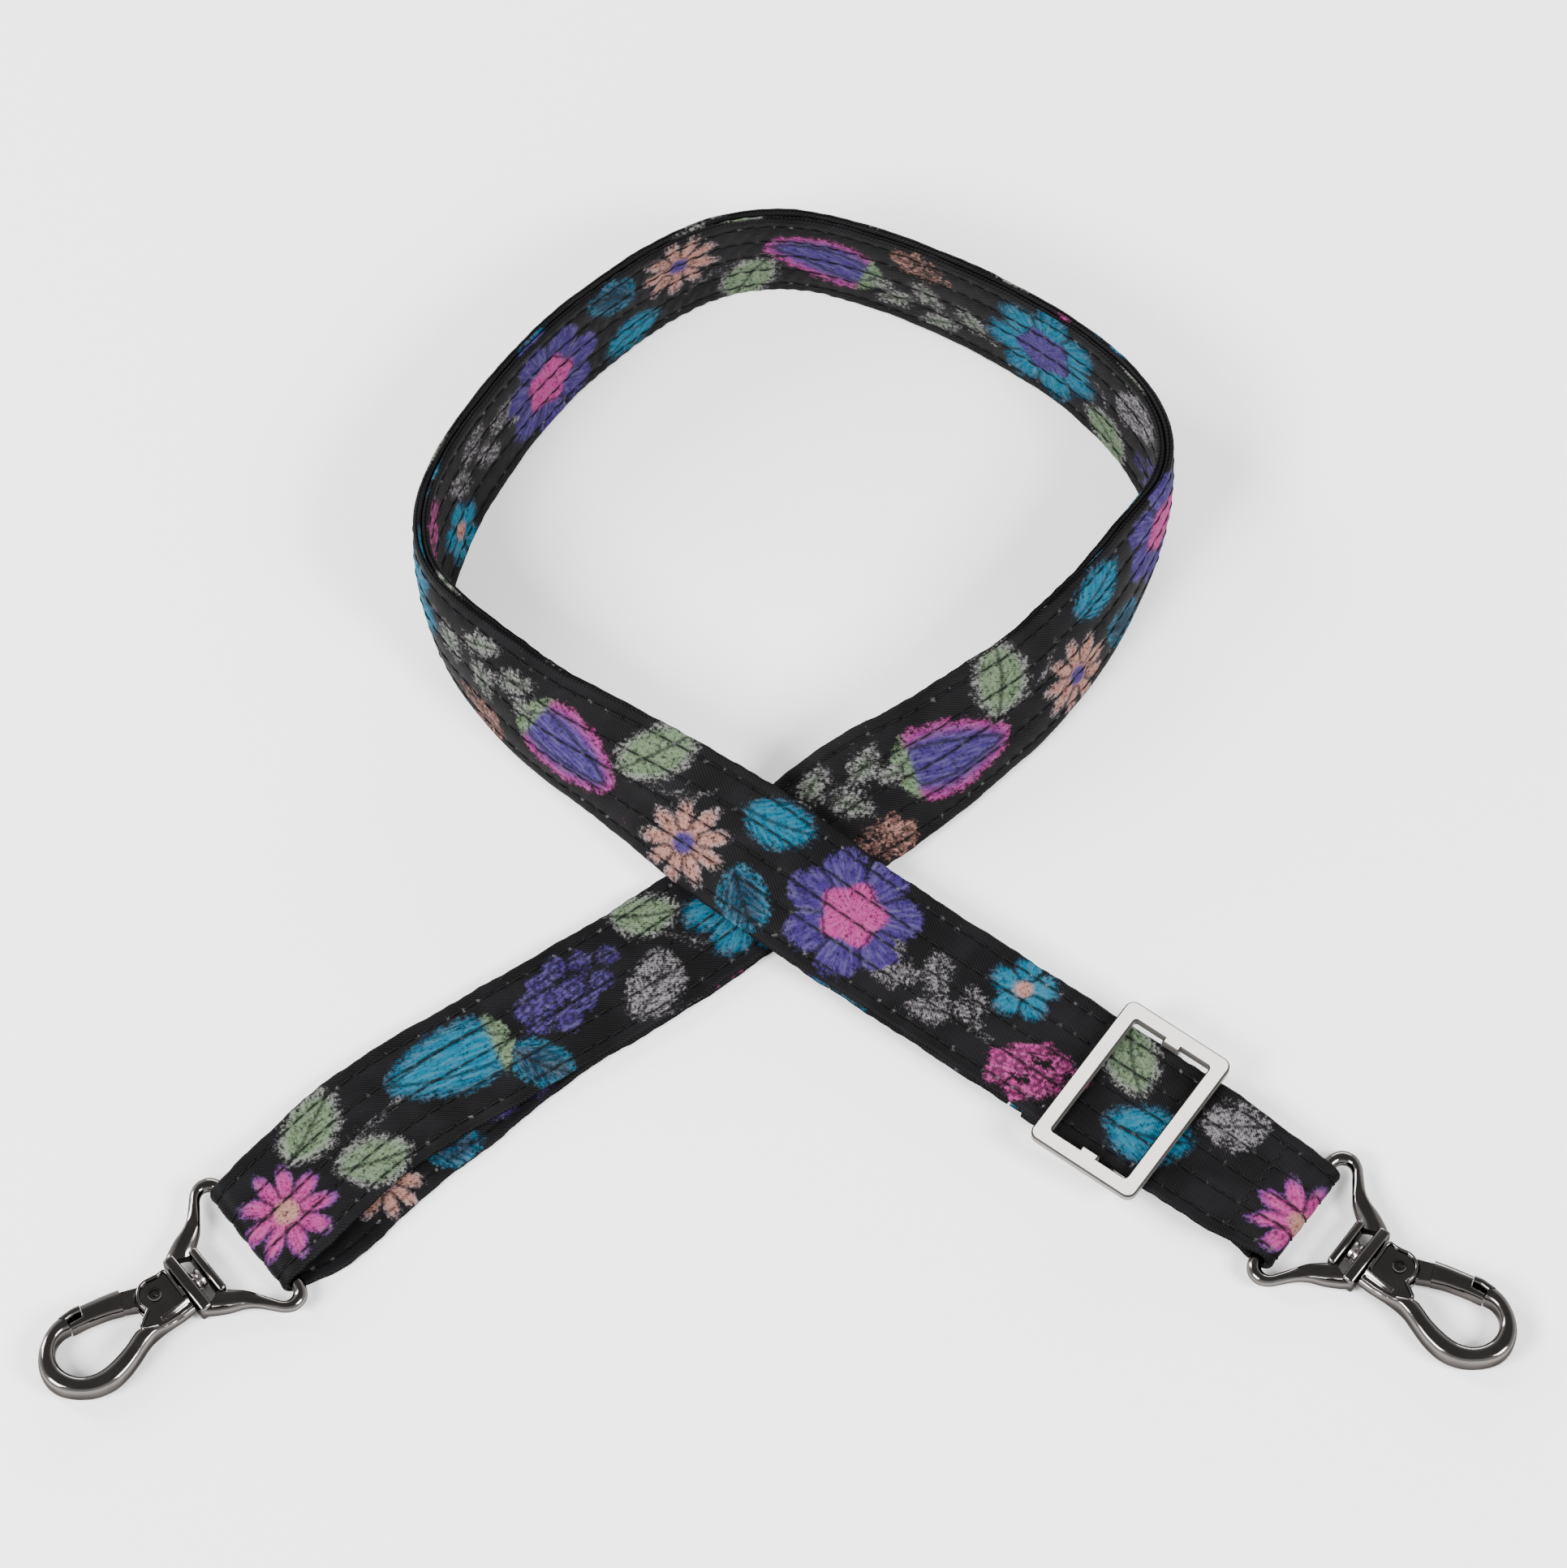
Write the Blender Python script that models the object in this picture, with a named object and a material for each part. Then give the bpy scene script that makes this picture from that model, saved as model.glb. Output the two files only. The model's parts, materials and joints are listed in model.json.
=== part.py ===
"""Detachable bag strap, as it lies on a table: quilted webbing doubled in an open loop,
a slider that sets its length and a swivel clip at each end.

Metres, +Z up. The strap is read along its length from the left ring to the right ring.
"""

import math

import bmesh
import bpy
import numpy as np
from mathutils import Matrix, Vector

# Webbing
STRAP_WIDTH = 0.0254
STRAP_THICKNESS = 0.0014
LOOP_LENGTH = 0.143
CROSSING_CLEARANCE = 0.0005
LEFT_EASE = 0.028
RIGHT_EASE = 0.012
TAB_LENGTH = 0.014
TAB_RISE = 0.007
TAB_SEAM = 0.0084
SLIP_AT_BAR = 0.0009
THREAD = 0.0005

# Every pair of pieces that touches keeps this gap
SEAT_GAP = 0.0003

# Slider, measured along and across the strap
SLIDER_FROM_RING = 0.0356
SLIDER_LENGTH = 0.0226
SLIDER_RAIL = 0.0031
SLIDER_CHEEK = 0.0031
SLIDER_PLATE = 0.002
SLIDER_SIDE_CLEARANCE = 0.0008
SLIDER_CORNER = 0.0018
MIDDLE_BAR_LENGTH = 0.003
MIDDLE_BAR_THICKNESS = 0.0016
MIDDLE_BAR_ARM = 0.0015
END_LOOP_LENGTH = 0.0198
END_LOOP_RISE = 0.006
FEED_LENGTH = 0.0398

# Clip, measured from the axis of the bar that the webbing goes round
BAR_RADIUS = 0.0013
RING_SIDE_CLEARANCE = 0.0004
RING_REACH = 0.0172
RING_CORNER = 0.0012
HUB_HALF_WIDTH = 0.0062
HUB_THICKNESS = 0.005
INNER_BAR_HALF_WIDTH = 0.005
INNER_BAR_THICKNESS = 0.0017
OUTER_BAR_THICKNESS = 0.0024
HUB_WINDOW = 0.0024
HOOK_LENGTH = 0.0297
HOOK_THICKNESS = 0.0052
HOOK_ROUNDING = 0.0012
GATE_THICKNESS = 0.0044
GATE_ROUNDING = 0.0008
GATE_TONGUE = 0.0016
TONGUE_CLEARANCE = 0.0003
SEAM_GAP = 0.00035
PIN_RADIUS = 0.0008
PIN_HEAD_RADIUS = 0.0016
PIN_HEAD_THICKNESS = 0.0005
KNUCKLE_WALL = 0.0006
SPRING_LEAF = 0.00035
SPRING_WIDTH = 0.0012
RIVET_RADIUS = 0.0012
RIVET_HEAD_RADIUS = 0.0021
RIVET_HEAD_THICKNESS = 0.0009
RIVET_DEPTH = 0.0013
WASHER_RADIUS = 0.002
WASHER_THICKNESS = 0.0005
BAR_HEIGHT = 0.003

# Worked out from the sizes above
LAYER_GAP = SEAT_GAP
LAYER_OFFSET = (LAYER_GAP + STRAP_THICKNESS) / 2
STACK_HEIGHT = 2 * STRAP_THICKNESS + LAYER_GAP
CROSSING_LIFT = STACK_HEIGHT + CROSSING_CLEARANCE
FOLD_RADIUS = BAR_RADIUS + SEAT_GAP + STRAP_THICKNESS / 2
HOOK_START = RING_REACH + SEAT_GAP

# The webbing's right-hand edge, from the left ring's bar to the right ring's bar.
# x, y as shares of LOOP_LENGTH; lean and curl in degrees; lift as a share of CROSSING_LIFT;
# width as a share of STRAP_WIDTH. Lean is 90 where the webbing lies flat and 0 on edge.
ROUTE_SHARES = (
    (-0.5985, -0.7010, 90, 0, 0.00, 0.920),
    (-0.5455, -0.6420, 90, 0, 0.00, 0.930),
    (-0.4895, -0.5776, 90, 0, 0.00, 0.930),
    (-0.4084, -0.5147, 90, 0, 0.00, 0.930),
    (-0.3413, -0.4720, 90, 0, 0.00, 0.930),
    (-0.2580, -0.4189, 90, 0, 0.00, 0.930),
    (-0.1308, -0.3367, 90, 0, 0.00, 0.930),
    (0.0133, -0.2273, 90, 0, 0.00, 0.940),
    (0.0839, -0.1664, 85, 14, 0.00, 0.970),
    (0.1503, -0.1077, 68, 40, 0.00, 0.985),
    (0.2154, -0.0490, 49, 50, 0.00, 0.985),
    (0.2755, 0.0084, 38, 45, 0.00, 0.985),
    (0.3336, 0.0678, 29, 40, 0.00, 0.985),
    (0.3867, 0.1350, 23, 34, 0.00, 0.985),
    (0.4336, 0.2126, 16, 28, 0.00, 0.985),
    (0.4706, 0.2965, 8, 24, 0.00, 0.985),
    (0.4895, 0.3706, -1, 20, 0.00, 0.985),
    (0.4783, 0.4294, -6, 12, 0.00, 0.985),
    (0.4462, 0.4860, -8, 4, 0.00, 0.985),
    (0.3867, 0.5559, -6.5, 0, 0.00, 0.985),
    (0.3217, 0.6084, -5, 0, 0.00, 0.985),
    (0.2063, 0.6790, -3, 0, 0.00, 0.985),
    (0.1021, 0.7245, -2, 0, 0.00, 0.985),
    (-0.0063, 0.7469, -2, 0, 0.00, 0.985),
    (-0.1140, 0.7203, -3.5, 0, 0.00, 0.985),
    (-0.2049, 0.6566, -5.5, 0, 0.00, 0.985),
    (-0.2881, 0.5748, -8, 0, 0.00, 0.985),
    (-0.3657, 0.4643, -11, 6, 0.00, 0.985),
    (-0.4084, 0.3818, -13, 14, 0.00, 0.985),
    (-0.4350, 0.3063, -12, 24, 0.00, 0.985),
    (-0.4462, 0.2406, -5, 32, 0.00, 0.985),
    (-0.4357, 0.1818, 5, 36, 0.00, 0.985),
    (-0.4056, 0.1273, 13, 38, 0.00, 0.985),
    (-0.3538, 0.0601, 21, 42, 0.00, 0.985),
    (-0.2951, 0.0014, 28, 46, 0.20, 0.985),
    (-0.2336, -0.0559, 38, 50, 0.57, 0.985),
    (-0.1755, -0.1175, 52, 50, 0.98, 0.985),
    (-0.1084, -0.1811, 68, 40, 1.00, 0.990),
    (-0.0154, -0.2549, 84, 16, 1.00, 1.000),
    (0.1039, -0.3394, 90, 0, 1.00, 1.000),
    (0.2075, -0.4134, 90, 0, 1.00, 1.000),
    (0.3412, -0.5089, 90, 0, 1.00, 1.000),
    (0.4436, -0.5821, 90, 0, 1.00, 1.000),
    (0.5120, -0.6308, 90, 0, 1.00, 0.985),
    (0.5520, -0.6590, 90, 0, 1.00, 0.940),
    (0.5948, -0.6880, 90, 0, 1.00, 0.880),
)

# How far the inner run slips sideways from under the outer run near the left ring:
# distance from the bar and slip, both as shares of STRAP_WIDTH
SLIP_SHARES = (
    (0.0, 0.035),
    (0.2, 0.12),
    (0.45, 0.175),
    (0.85, 0.2),
    (1.3, 0.18),
    (1.75, 0.13),
    (2.2, 0.05),
    (2.7, 0.0),
)

# The bars aren't quite square to the webbing that goes round them, in degrees,
# and it doesn't lie quite at their middle
LEFT_SKEW = 9.5
RIGHT_SKEW = 2.7
SKEW_RUN_SHARE = 0.6
LEFT_BAR_SHIFT = -0.0009
RIGHT_BAR_SHIFT = 0.0008

# Resolution
ACROSS = 5
TURN_STEP = 8.0
LONGEST_STEP_SHARE = 0.6
FOLD_STEPS = 8
ROUND_STEPS = 2


def ease(share):
    """Smooth step from 0 to 1."""
    share = min(max(share, 0.0), 1.0)
    return share * share * (3 - 2 * share)


class Curve:
    """A natural cubic curve through rows of values, read at a distance along it."""

    def __init__(self, distances, rows):
        self.at = np.asarray(distances, dtype=float)
        self.rows = np.asarray(rows, dtype=float)
        count = len(self.at)
        self.spans = np.diff(self.at)
        system = np.eye(count)
        target = np.zeros_like(self.rows)
        slopes = np.diff(self.rows, axis=0) / self.spans[:, None]
        for i in range(1, count - 1):
            before = self.spans[i - 1]
            after = self.spans[i]
            system[i, i - 1 : i + 2] = before, 2 * (before + after), after
            target[i] = 6 * (slopes[i] - slopes[i - 1])
        self.bends = np.linalg.solve(system, target)
        self.slopes = slopes

    def value(self, distance):
        """The row of values at a distance, and how fast each changes."""
        i = int(np.clip(np.searchsorted(self.at, distance, side="right") - 1, 0, len(self.spans) - 1))
        span = self.spans[i]
        ahead = distance - self.at[i]
        bend = self.bends[i]
        change = self.bends[i + 1] - bend
        slope = self.slopes[i] - span * (2 * bend + self.bends[i + 1]) / 6
        value = self.rows[i] + slope * ahead + bend / 2 * ahead**2 + change / (6 * span) * ahead**3
        rate = slope + bend * ahead + change / (2 * span) * ahead**2
        return value, rate


class Route:
    """The way the doubled webbing lies, read at a distance from the left ring's bar."""

    def __init__(self):
        rows = np.array(ROUTE_SHARES)
        rows[:, 0:2] *= LOOP_LENGTH
        rows[:, 4] *= CROSSING_LIFT
        rows[:, 5] *= STRAP_WIDTH
        steps = np.linalg.norm(np.diff(rows[:, 0:2], axis=0), axis=1)
        distances = np.concatenate([[0.0], np.cumsum(steps)])
        self.length = distances[-1]
        self.curve = Curve(distances, rows)
        slip = np.array(SLIP_SHARES) * STRAP_WIDTH
        slip[0, 1] = SLIP_AT_BAR
        self.slip_end = slip[-1, 0]
        self.slip_curve = Curve(slip[:, 0], slip[:, 1:2])

    def slip(self, distance):
        """Sideways slip of the inner run at a distance from the left bar."""
        if distance >= self.slip_end:
            return 0.0
        return float(self.slip_curve.value(distance)[0][0])

    def skew(self, distance):
        """Angle by which the rows turn towards the bars near each end."""
        run = SKEW_RUN_SHARE * STRAP_WIDTH
        left = LEFT_SKEW * ease(1 - distance / run)
        right = RIGHT_SKEW * ease(1 - (self.length - distance) / run)
        return math.radians(left + right)

    def row(self, distance, level, slip=0.0):
        """Points and normals across the webbing, at a level above the middle of the two layers."""
        (x, y, lean, curl, lift, width), rate = self.curve.value(distance)
        lean = min(lean, 90.0)
        lift = max(lift, 0.0)
        heading = rate[0:2] / np.linalg.norm(rate[0:2])
        outward = np.array([heading[1], -heading[0], 0.0])
        upward = np.array([0.0, 0.0, 1.0])
        start = math.radians(lean - curl / 2)
        bend = math.radians(curl) / width
        base = (LAYER_GAP / 2 + STRAP_THICKNESS) * abs(math.sin(start)) + lift
        narrowing = (STRAP_WIDTH - width) / 2 * abs(math.sin(start))
        points = []
        normals = []
        for step in range(ACROSS + 1):
            across = width * step / ACROSS
            angle = start + bend * across
            if abs(curl) < 1e-3:
                out = -math.sin(start) * across
                up = math.cos(start) * across
            else:
                out = (math.cos(angle) - math.cos(start)) / bend
                up = (math.sin(angle) - math.sin(start)) / bend
            normal = math.cos(angle) * outward + math.sin(angle) * upward
            foot = np.array([x, y, base + up]) + (out + slip - narrowing) * outward
            points.append(foot + level * normal)
            normals.append(normal)
        points = np.array(points)
        turn = self.skew(distance)
        if turn:
            middle = points.mean(axis=0)
            spin = np.array(Matrix.Rotation(-turn, 3, "Z"))
            points = (points - middle) @ spin.T + middle
        return points, np.array(normals)

    def stations(self, start, end):
        """Distances from start to end, closer together where the webbing turns or leans."""
        chosen = [start]
        fine = STRAP_THICKNESS / 2
        longest = LONGEST_STEP_SHARE * STRAP_WIDTH
        for distance in self.grid(fine, longest):
            if distance - start > fine and end - distance > fine:
                chosen.append(distance)
        chosen.append(end)
        return chosen

    def grid(self, fine, longest):
        """One set of rows for both layers, so that their facets stay parallel."""
        distances = [0.0]
        turned = 0.0
        last = self.direction(0.0)
        for step in range(1, int(self.length / fine)):
            distance = step * fine
            now = self.direction(distance)
            turned += np.abs(now - last).max()
            last = now
            if turned > TURN_STEP or distance - distances[-1] > longest:
                distances.append(distance)
                turned = 0.0
        return distances

    def direction(self, distance):
        """Heading, lean and half the curl at a distance, in degrees."""
        value, rate = self.curve.value(distance)
        heading = math.degrees(math.atan2(rate[1], rate[0])) % 360
        return np.array([heading, value[2], value[3] / 2])

    def frame(self, distance):
        """A Run that starts at a distance, for straight stretches."""
        points, _ = self.row(distance, 0.0)
        return Run(points)


class Run:
    """A straight stretch of webbing: paths are drawn in its upright plane, as (along, height)."""

    def __init__(self, row):
        self.edge = np.array([row[0][0], row[0][1], 0.0])
        across = np.array([row[-1][0] - row[0][0], row[-1][1] - row[0][1], 0.0])
        self.width = np.linalg.norm(across)
        self.across = across / self.width
        self.along = np.array([self.across[1], -self.across[0], 0.0])
        self.middle = self.edge + self.across * self.width / 2

    def heading(self):
        """Direction of the stretch in plan, in radians."""
        return math.atan2(self.along[1], self.along[0])

    def rows(self, path, slips=None):
        """Rows across the webbing for each point of a path, facing its left-hand side."""
        path = np.array(path)
        rows = []
        for i, (along, height) in enumerate(path):
            before = path[max(i - 1, 0)]
            after = path[min(i + 1, len(path) - 1)]
            step = (after - before) / np.linalg.norm(after - before)
            normal = -step[1] * self.along + np.array([0.0, 0.0, step[0]])
            slip = slips[i] if slips else 0.0
            foot = self.edge - slip * self.across + along * self.along + np.array([0.0, 0.0, height])
            points = [foot + self.across * self.width * k / ACROSS for k in range(ACROSS + 1)]
            rows.append((np.array(points), np.array([normal] * (ACROSS + 1))))
        return rows


def turn_path(centre_along, centre_height, radius, start, end, steps=FOLD_STEPS):
    """Points round a bar from one angle to another, 90 being the top."""
    path = []
    for step in range(steps + 1):
        angle = math.radians(start + (end - start) * step / steps)
        path.append((centre_along + radius * math.cos(angle), centre_height + radius * math.sin(angle)))
    return path


def material(name, colour, roughness, metallic):
    """A plain Principled material."""
    made = bpy.data.materials.new(name)
    made.use_nodes = True
    shader = made.node_tree.nodes["Principled BSDF"]
    shader.inputs["Base Color"].default_value = (*colour, 1.0)
    shader.inputs["Roughness"].default_value = roughness
    shader.inputs["Metallic"].default_value = metallic
    return made


def add_object(name, bm, surface, parent=None, smooth_angle=30.0):
    """Turn a bmesh into a named object with outward faces."""
    bmesh.ops.recalc_face_normals(bm, faces=bm.faces)
    mesh = bpy.data.meshes.new(name)
    bm.to_mesh(mesh)
    bm.free()
    mesh.shade_smooth()
    mesh.set_sharp_from_angle(angle=math.radians(smooth_angle))
    made = bpy.data.objects.new(name, mesh)
    made.data.materials.append(surface)
    bpy.context.collection.objects.link(made)
    if parent:
        made.parent = parent
    return made


def strip(name, rows, surface, thickness=STRAP_THICKNESS, parent=None):
    """A closed strip of webbing from rows of points and normals across it."""
    bm = bmesh.new()
    top = []
    bottom = []
    for points, normals in rows:
        top.append([bm.verts.new(p + n * thickness / 2) for p, n in zip(points, normals)])
        bottom.append([bm.verts.new(p - n * thickness / 2) for p, n in zip(points, normals)])
    last = len(top[0]) - 1
    for i in range(len(rows) - 1):
        for k in range(last):
            bm.faces.new((top[i][k], top[i + 1][k], top[i + 1][k + 1], top[i][k + 1]))
            bm.faces.new((bottom[i][k], bottom[i][k + 1], bottom[i + 1][k + 1], bottom[i + 1][k]))
        bm.faces.new((top[i][0], bottom[i][0], bottom[i + 1][0], top[i + 1][0]))
        bm.faces.new((top[i][last], top[i + 1][last], bottom[i + 1][last], bottom[i][last]))
    for i in (0, -1):
        for k in range(last):
            bm.faces.new((top[i][k], top[i][k + 1], bottom[i][k + 1], bottom[i][k]))
    return add_object(name, bm, surface, parent)


def smooth_line(points, steps=3):
    """Points on a smooth open curve through the given points."""
    knots = [Vector(p) for p in points]
    line = []
    for i in range(len(knots) - 1):
        before = knots[i - 1] if i else 2 * knots[0] - knots[1]
        after = knots[i + 2] if i + 2 < len(knots) else 2 * knots[-1] - knots[-2]
        for step in range(steps):
            t = step / steps
            line.append(
                knots[i] * 1.0
                + (knots[i + 1] - before) * (t / 2)
                + (2 * before - 5 * knots[i] + 4 * knots[i + 1] - after) * (t * t / 2)
                + (3 * knots[i] - before - 3 * knots[i + 1] + after) * (t**3 / 2)
            )
    line.append(knots[-1])
    return [(p.x, p.y) for p in line]


def arc(centre, radius, start, end, steps):
    """Points on an arc, angles in degrees."""
    points = []
    for step in range(steps + 1):
        angle = math.radians(start + (end - start) * step / steps)
        points.append((centre[0] + radius * math.cos(angle), centre[1] + radius * math.sin(angle)))
    return points


def mirrored(half):
    """A closed outline from its half at +Y, read from the axis round to the axis."""
    other = [(x, -y) for x, y in reversed(half) if abs(y) > SEAT_GAP / 10]
    return half + other


def rounded_rectangle(half_x, half_y, radius, steps=4):
    """Outline of a rectangle with round corners, centred on the origin."""
    outline = []
    corners = ((1, 1, 0), (-1, 1, 90), (-1, -1, 180), (1, -1, 270))
    for sign_x, sign_y, start in corners:
        centre = (sign_x * (half_x - radius), sign_y * (half_y - radius))
        outline += arc(centre, radius, start, start + 90, steps)
    return outline


def inset(outline, amount):
    """Move an outline's points to its left by an amount, along their mean normals."""
    moved = []
    count = len(outline)
    for i in range(count):
        here = Vector(outline[i])
        to_here = (here - Vector(outline[i - 1])).normalized()
        onward = (Vector(outline[(i + 1) % count]) - here).normalized()
        left = Vector((-to_here.y - onward.y, to_here.x + onward.x))
        left.normalize()
        stretch = max(left.dot(Vector((-onward.y, onward.x))), 0.5)
        moved.append(here + left * (amount / stretch))
    return moved


def anticlockwise(outline):
    """The outline in anticlockwise order."""
    area = 0.0
    for i, (x, y) in enumerate(outline):
        area += outline[i - 1][0] * y - x * outline[i - 1][1]
    return list(outline) if area > 0 else list(reversed(outline))


def plate_bmesh(outlines, half_height, rounding):
    """A plate with rounded edges: the first outline is its rim, the others are holes."""
    bm = bmesh.new()
    levels = []
    for step in range(ROUND_STEPS + 1):
        angle = math.pi / 2 * step / ROUND_STEPS
        levels.append((rounding * (1 - math.sin(angle)), half_height - rounding * (1 - math.cos(angle))))
    profile = [(away, -height) for away, height in levels] + [(away, height) for away, height in reversed(levels)]
    if rounding == 0:
        profile = [(0.0, -half_height), (0.0, half_height)]
    rims = ([], [])
    for number, outline in enumerate(outlines):
        outline = anticlockwise(outline)
        if number:
            outline.reverse()
        rings = []
        for away, height in profile:
            places = inset(outline, away) if away else [Vector(p) for p in outline]
            rings.append([bm.verts.new((p.x, p.y, height)) for p in places])
        for low, high in zip(rings, rings[1:]):
            for i in range(len(low)):
                bm.faces.new((low[i - 1], low[i], high[i], high[i - 1]))
        rims[0].append(rings[0])
        rims[1].append(rings[-1])
    for rim in rims:
        edges = []
        for ring in rim:
            edges += [bm.edges.get((ring[i - 1], ring[i])) for i in range(len(ring))]
        bmesh.ops.triangle_fill(bm, edges=edges, use_beauty=True)
    return bm


def plate(name, outlines, half_height, rounding, surface, parent=None):
    """A plate_bmesh as an object."""
    return add_object(name, plate_bmesh(outlines, half_height, rounding), surface, parent)


def box(name, low, high, surface, parent=None, bevel=0.0):
    """A box between two corners, with its edges bevelled."""
    bm = bmesh.new()
    size = [b - a for a, b in zip(low, high)]
    middle = [(a + b) / 2 for a, b in zip(low, high)]
    bmesh.ops.create_cube(bm, size=1.0, matrix=Matrix.Translation(middle) @ Matrix.Diagonal((*size, 1.0)))
    if bevel:
        bmesh.ops.bevel(bm, geom=bm.edges[:], offset=bevel, segments=1, affect="EDGES", profile=0.5)
    return add_object(name, bm, surface, parent)


def turned(name, profile, axis, place, surface, parent=None, sides=16):
    """A solid of revolution. The profile is (radius, along) from one end of the axis to the other."""
    bm = bmesh.new()
    rings = []
    for radius, along in profile:
        ring = []
        for side in range(sides):
            angle = 2 * math.pi * side / sides
            ring.append(bm.verts.new((radius * math.cos(angle), radius * math.sin(angle), along)))
        rings.append(ring)
    for low, high in zip(rings, rings[1:]):
        for i in range(sides):
            bm.faces.new((low[i - 1], low[i], high[i], high[i - 1]))
    if profile[0] == profile[-1]:
        bmesh.ops.remove_doubles(bm, verts=bm.verts, dist=SEAT_GAP / 100)
    else:
        bm.faces.new(rings[0])
        bm.faces.new(rings[-1])
    turn = Vector((0, 0, 1)).rotation_difference(Vector(axis)).to_matrix().to_4x4()
    bmesh.ops.transform(bm, matrix=Matrix.Translation(place) @ turn, verts=bm.verts)
    return add_object(name, bm, surface, parent)


def cut(body, tool, operation="DIFFERENCE"):
    """Cut a tool from a body, or join it to the body."""
    change = body.modifiers.new(tool.name, "BOOLEAN")
    change.object = tool
    change.operation = operation
    change.solver = "EXACT"
    tool.hide_render = True
    tool.display_type = "WIRE"
    return body


def empty(name, parent=None, location=(0.0, 0.0, 0.0), rotation=(0.0, 0.0, 0.0)):
    """An empty on a joint's axis."""
    made = bpy.data.objects.new(name, None)
    made.empty_display_size = RING_REACH / 2
    bpy.context.collection.objects.link(made)
    made.parent = parent
    made.location = location
    made.rotation_euler = rotation
    return made


def zigzag(length, depth, pitch, thread):
    """Outline of a zigzag row of stitches along X."""
    count = max(int(length / pitch), 1)
    ahead = []
    back = []
    for i in range(count + 1):
        x = length * (i / count - 0.5)
        y = depth / 2 if i % 2 else -depth / 2
        ahead.append((x, y - thread / 2))
        back.append((x, y + thread / 2))
    return ahead + back[::-1]


class Strap:
    """The webbing in its four runs and the two sewn seams."""

    def __init__(self, route, cloth, thread):
        self.route = route
        self.cloth = cloth
        self.thread = thread
        self.left_bar = route.frame(0.0)
        self.right_bar = route.frame(route.length)
        self.slider_place = route.length - SLIDER_FROM_RING
        self.loop_turn = self.slider_place + MIDDLE_BAR_LENGTH / 2
        self.loop_start = self.loop_turn - END_LOOP_LENGTH - SEAT_GAP
        self.feed_start = self.loop_start - FEED_LENGTH

    def top_level(self, distance):
        """Level of the outer run, which rises or sinks to meet each bar."""
        reference = LAYER_GAP / 2 + STRAP_THICKNESS
        over_bar = BAR_HEIGHT + FOLD_RADIUS
        left = (over_bar - reference - LAYER_OFFSET) * ease(1 - distance / LEFT_EASE)
        flat = self.route.length - distance - TAB_SEAM - STRAP_THICKNESS
        right = (over_bar - reference - CROSSING_LIFT - LAYER_OFFSET) * ease(1 - flat / RIGHT_EASE)
        return LAYER_OFFSET + left + right

    def outer_run(self):
        """Round the left bar, round the loop, through the slider and round the right bar."""
        route = self.route
        path = turn_path(0.0, BAR_HEIGHT, FOLD_RADIUS, 270, 90)[:-1]
        slips = [SLIP_AT_BAR * (1 - i / FOLD_STEPS) for i in range(FOLD_STEPS)]
        rows = self.left_bar.rows(path, slips)
        for distance in route.stations(0.0, route.length):
            rows.append(route.row(distance, self.top_level(distance)))
        path = turn_path(0.0, BAR_HEIGHT, FOLD_RADIUS, 90, -90) + self.tab_path()
        rows += self.right_bar.rows(path)[1:]
        return strip("strap_outer_run", rows, self.cloth)

    def tab_path(self):
        """The sewn tail, which rises from under the right bar to the outer run."""
        low = BAR_HEIGHT - FOLD_RADIUS
        high = BAR_HEIGHT + FOLD_RADIUS - STRAP_THICKNESS - SEAT_GAP
        path = []
        for step in range(1, FOLD_STEPS + 1):
            along = TAB_LENGTH * step / FOLD_STEPS
            path.append((-along, low + (high - low) * ease(along / TAB_RISE)))
        return path

    def inner_run(self):
        """From the left bar back round the loop to just past the crossing."""
        rows = []
        for distance in self.route.stations(SEAT_GAP, self.feed_start - SEAT_GAP):
            rows.append(self.route.row(distance, -LAYER_OFFSET, self.route.slip(distance)))
        return strip("strap_inner_run", rows, self.cloth)

    def feed_run(self):
        """From just past the crossing to the slider's end loop."""
        rows = []
        for distance in self.route.stations(self.feed_start, self.loop_start - SEAT_GAP):
            rows.append(self.route.row(distance, -LAYER_OFFSET))
        return strip("strap_feed_run", rows, self.cloth)

    def end_loop(self, parent):
        """Sewn round the slider's middle bar."""
        run = self.route.frame(self.slider_place)
        radius = MIDDLE_BAR_THICKNESS / 2 + SEAT_GAP + STRAP_THICKNESS / 2
        upper = CROSSING_LIFT + STRAP_THICKNESS / 2
        turn = MIDDLE_BAR_LENGTH / 2
        start = turn - END_LOOP_LENGTH
        path = [(start, upper), (start / 2, upper)]
        path += turn_path(turn, upper - radius, radius, 90, -90)
        low = upper - 2 * radius
        high = upper - STRAP_THICKNESS - SEAT_GAP
        flat = turn + radius + STRAP_THICKNESS
        for step in range(1, FOLD_STEPS):
            along = END_LOOP_LENGTH * step / FOLD_STEPS
            path.append((turn - along, low + (high - low) * ease((along - flat) / END_LOOP_RISE)))
        return strip("strap_end_loop", run.rows(path), self.cloth, parent=parent)

    def seam(self, name, run, along, height, parent=None):
        """A zigzag row of thread across the webbing, its underside at a height."""
        bm = plate_bmesh([zigzag(run.width - 2 * THREAD, 3 * THREAD, 3 * THREAD, THREAD)], THREAD / 2, 0.0)
        place = run.middle + along * run.along
        lift = Matrix.Translation((place[0], place[1], height + THREAD / 2))
        turn = Matrix.Rotation(math.atan2(run.across[1], run.across[0]), 4, "Z")
        bmesh.ops.transform(bm, matrix=lift @ turn, verts=bm.verts)
        return add_object(name, bm, self.thread, parent)

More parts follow.
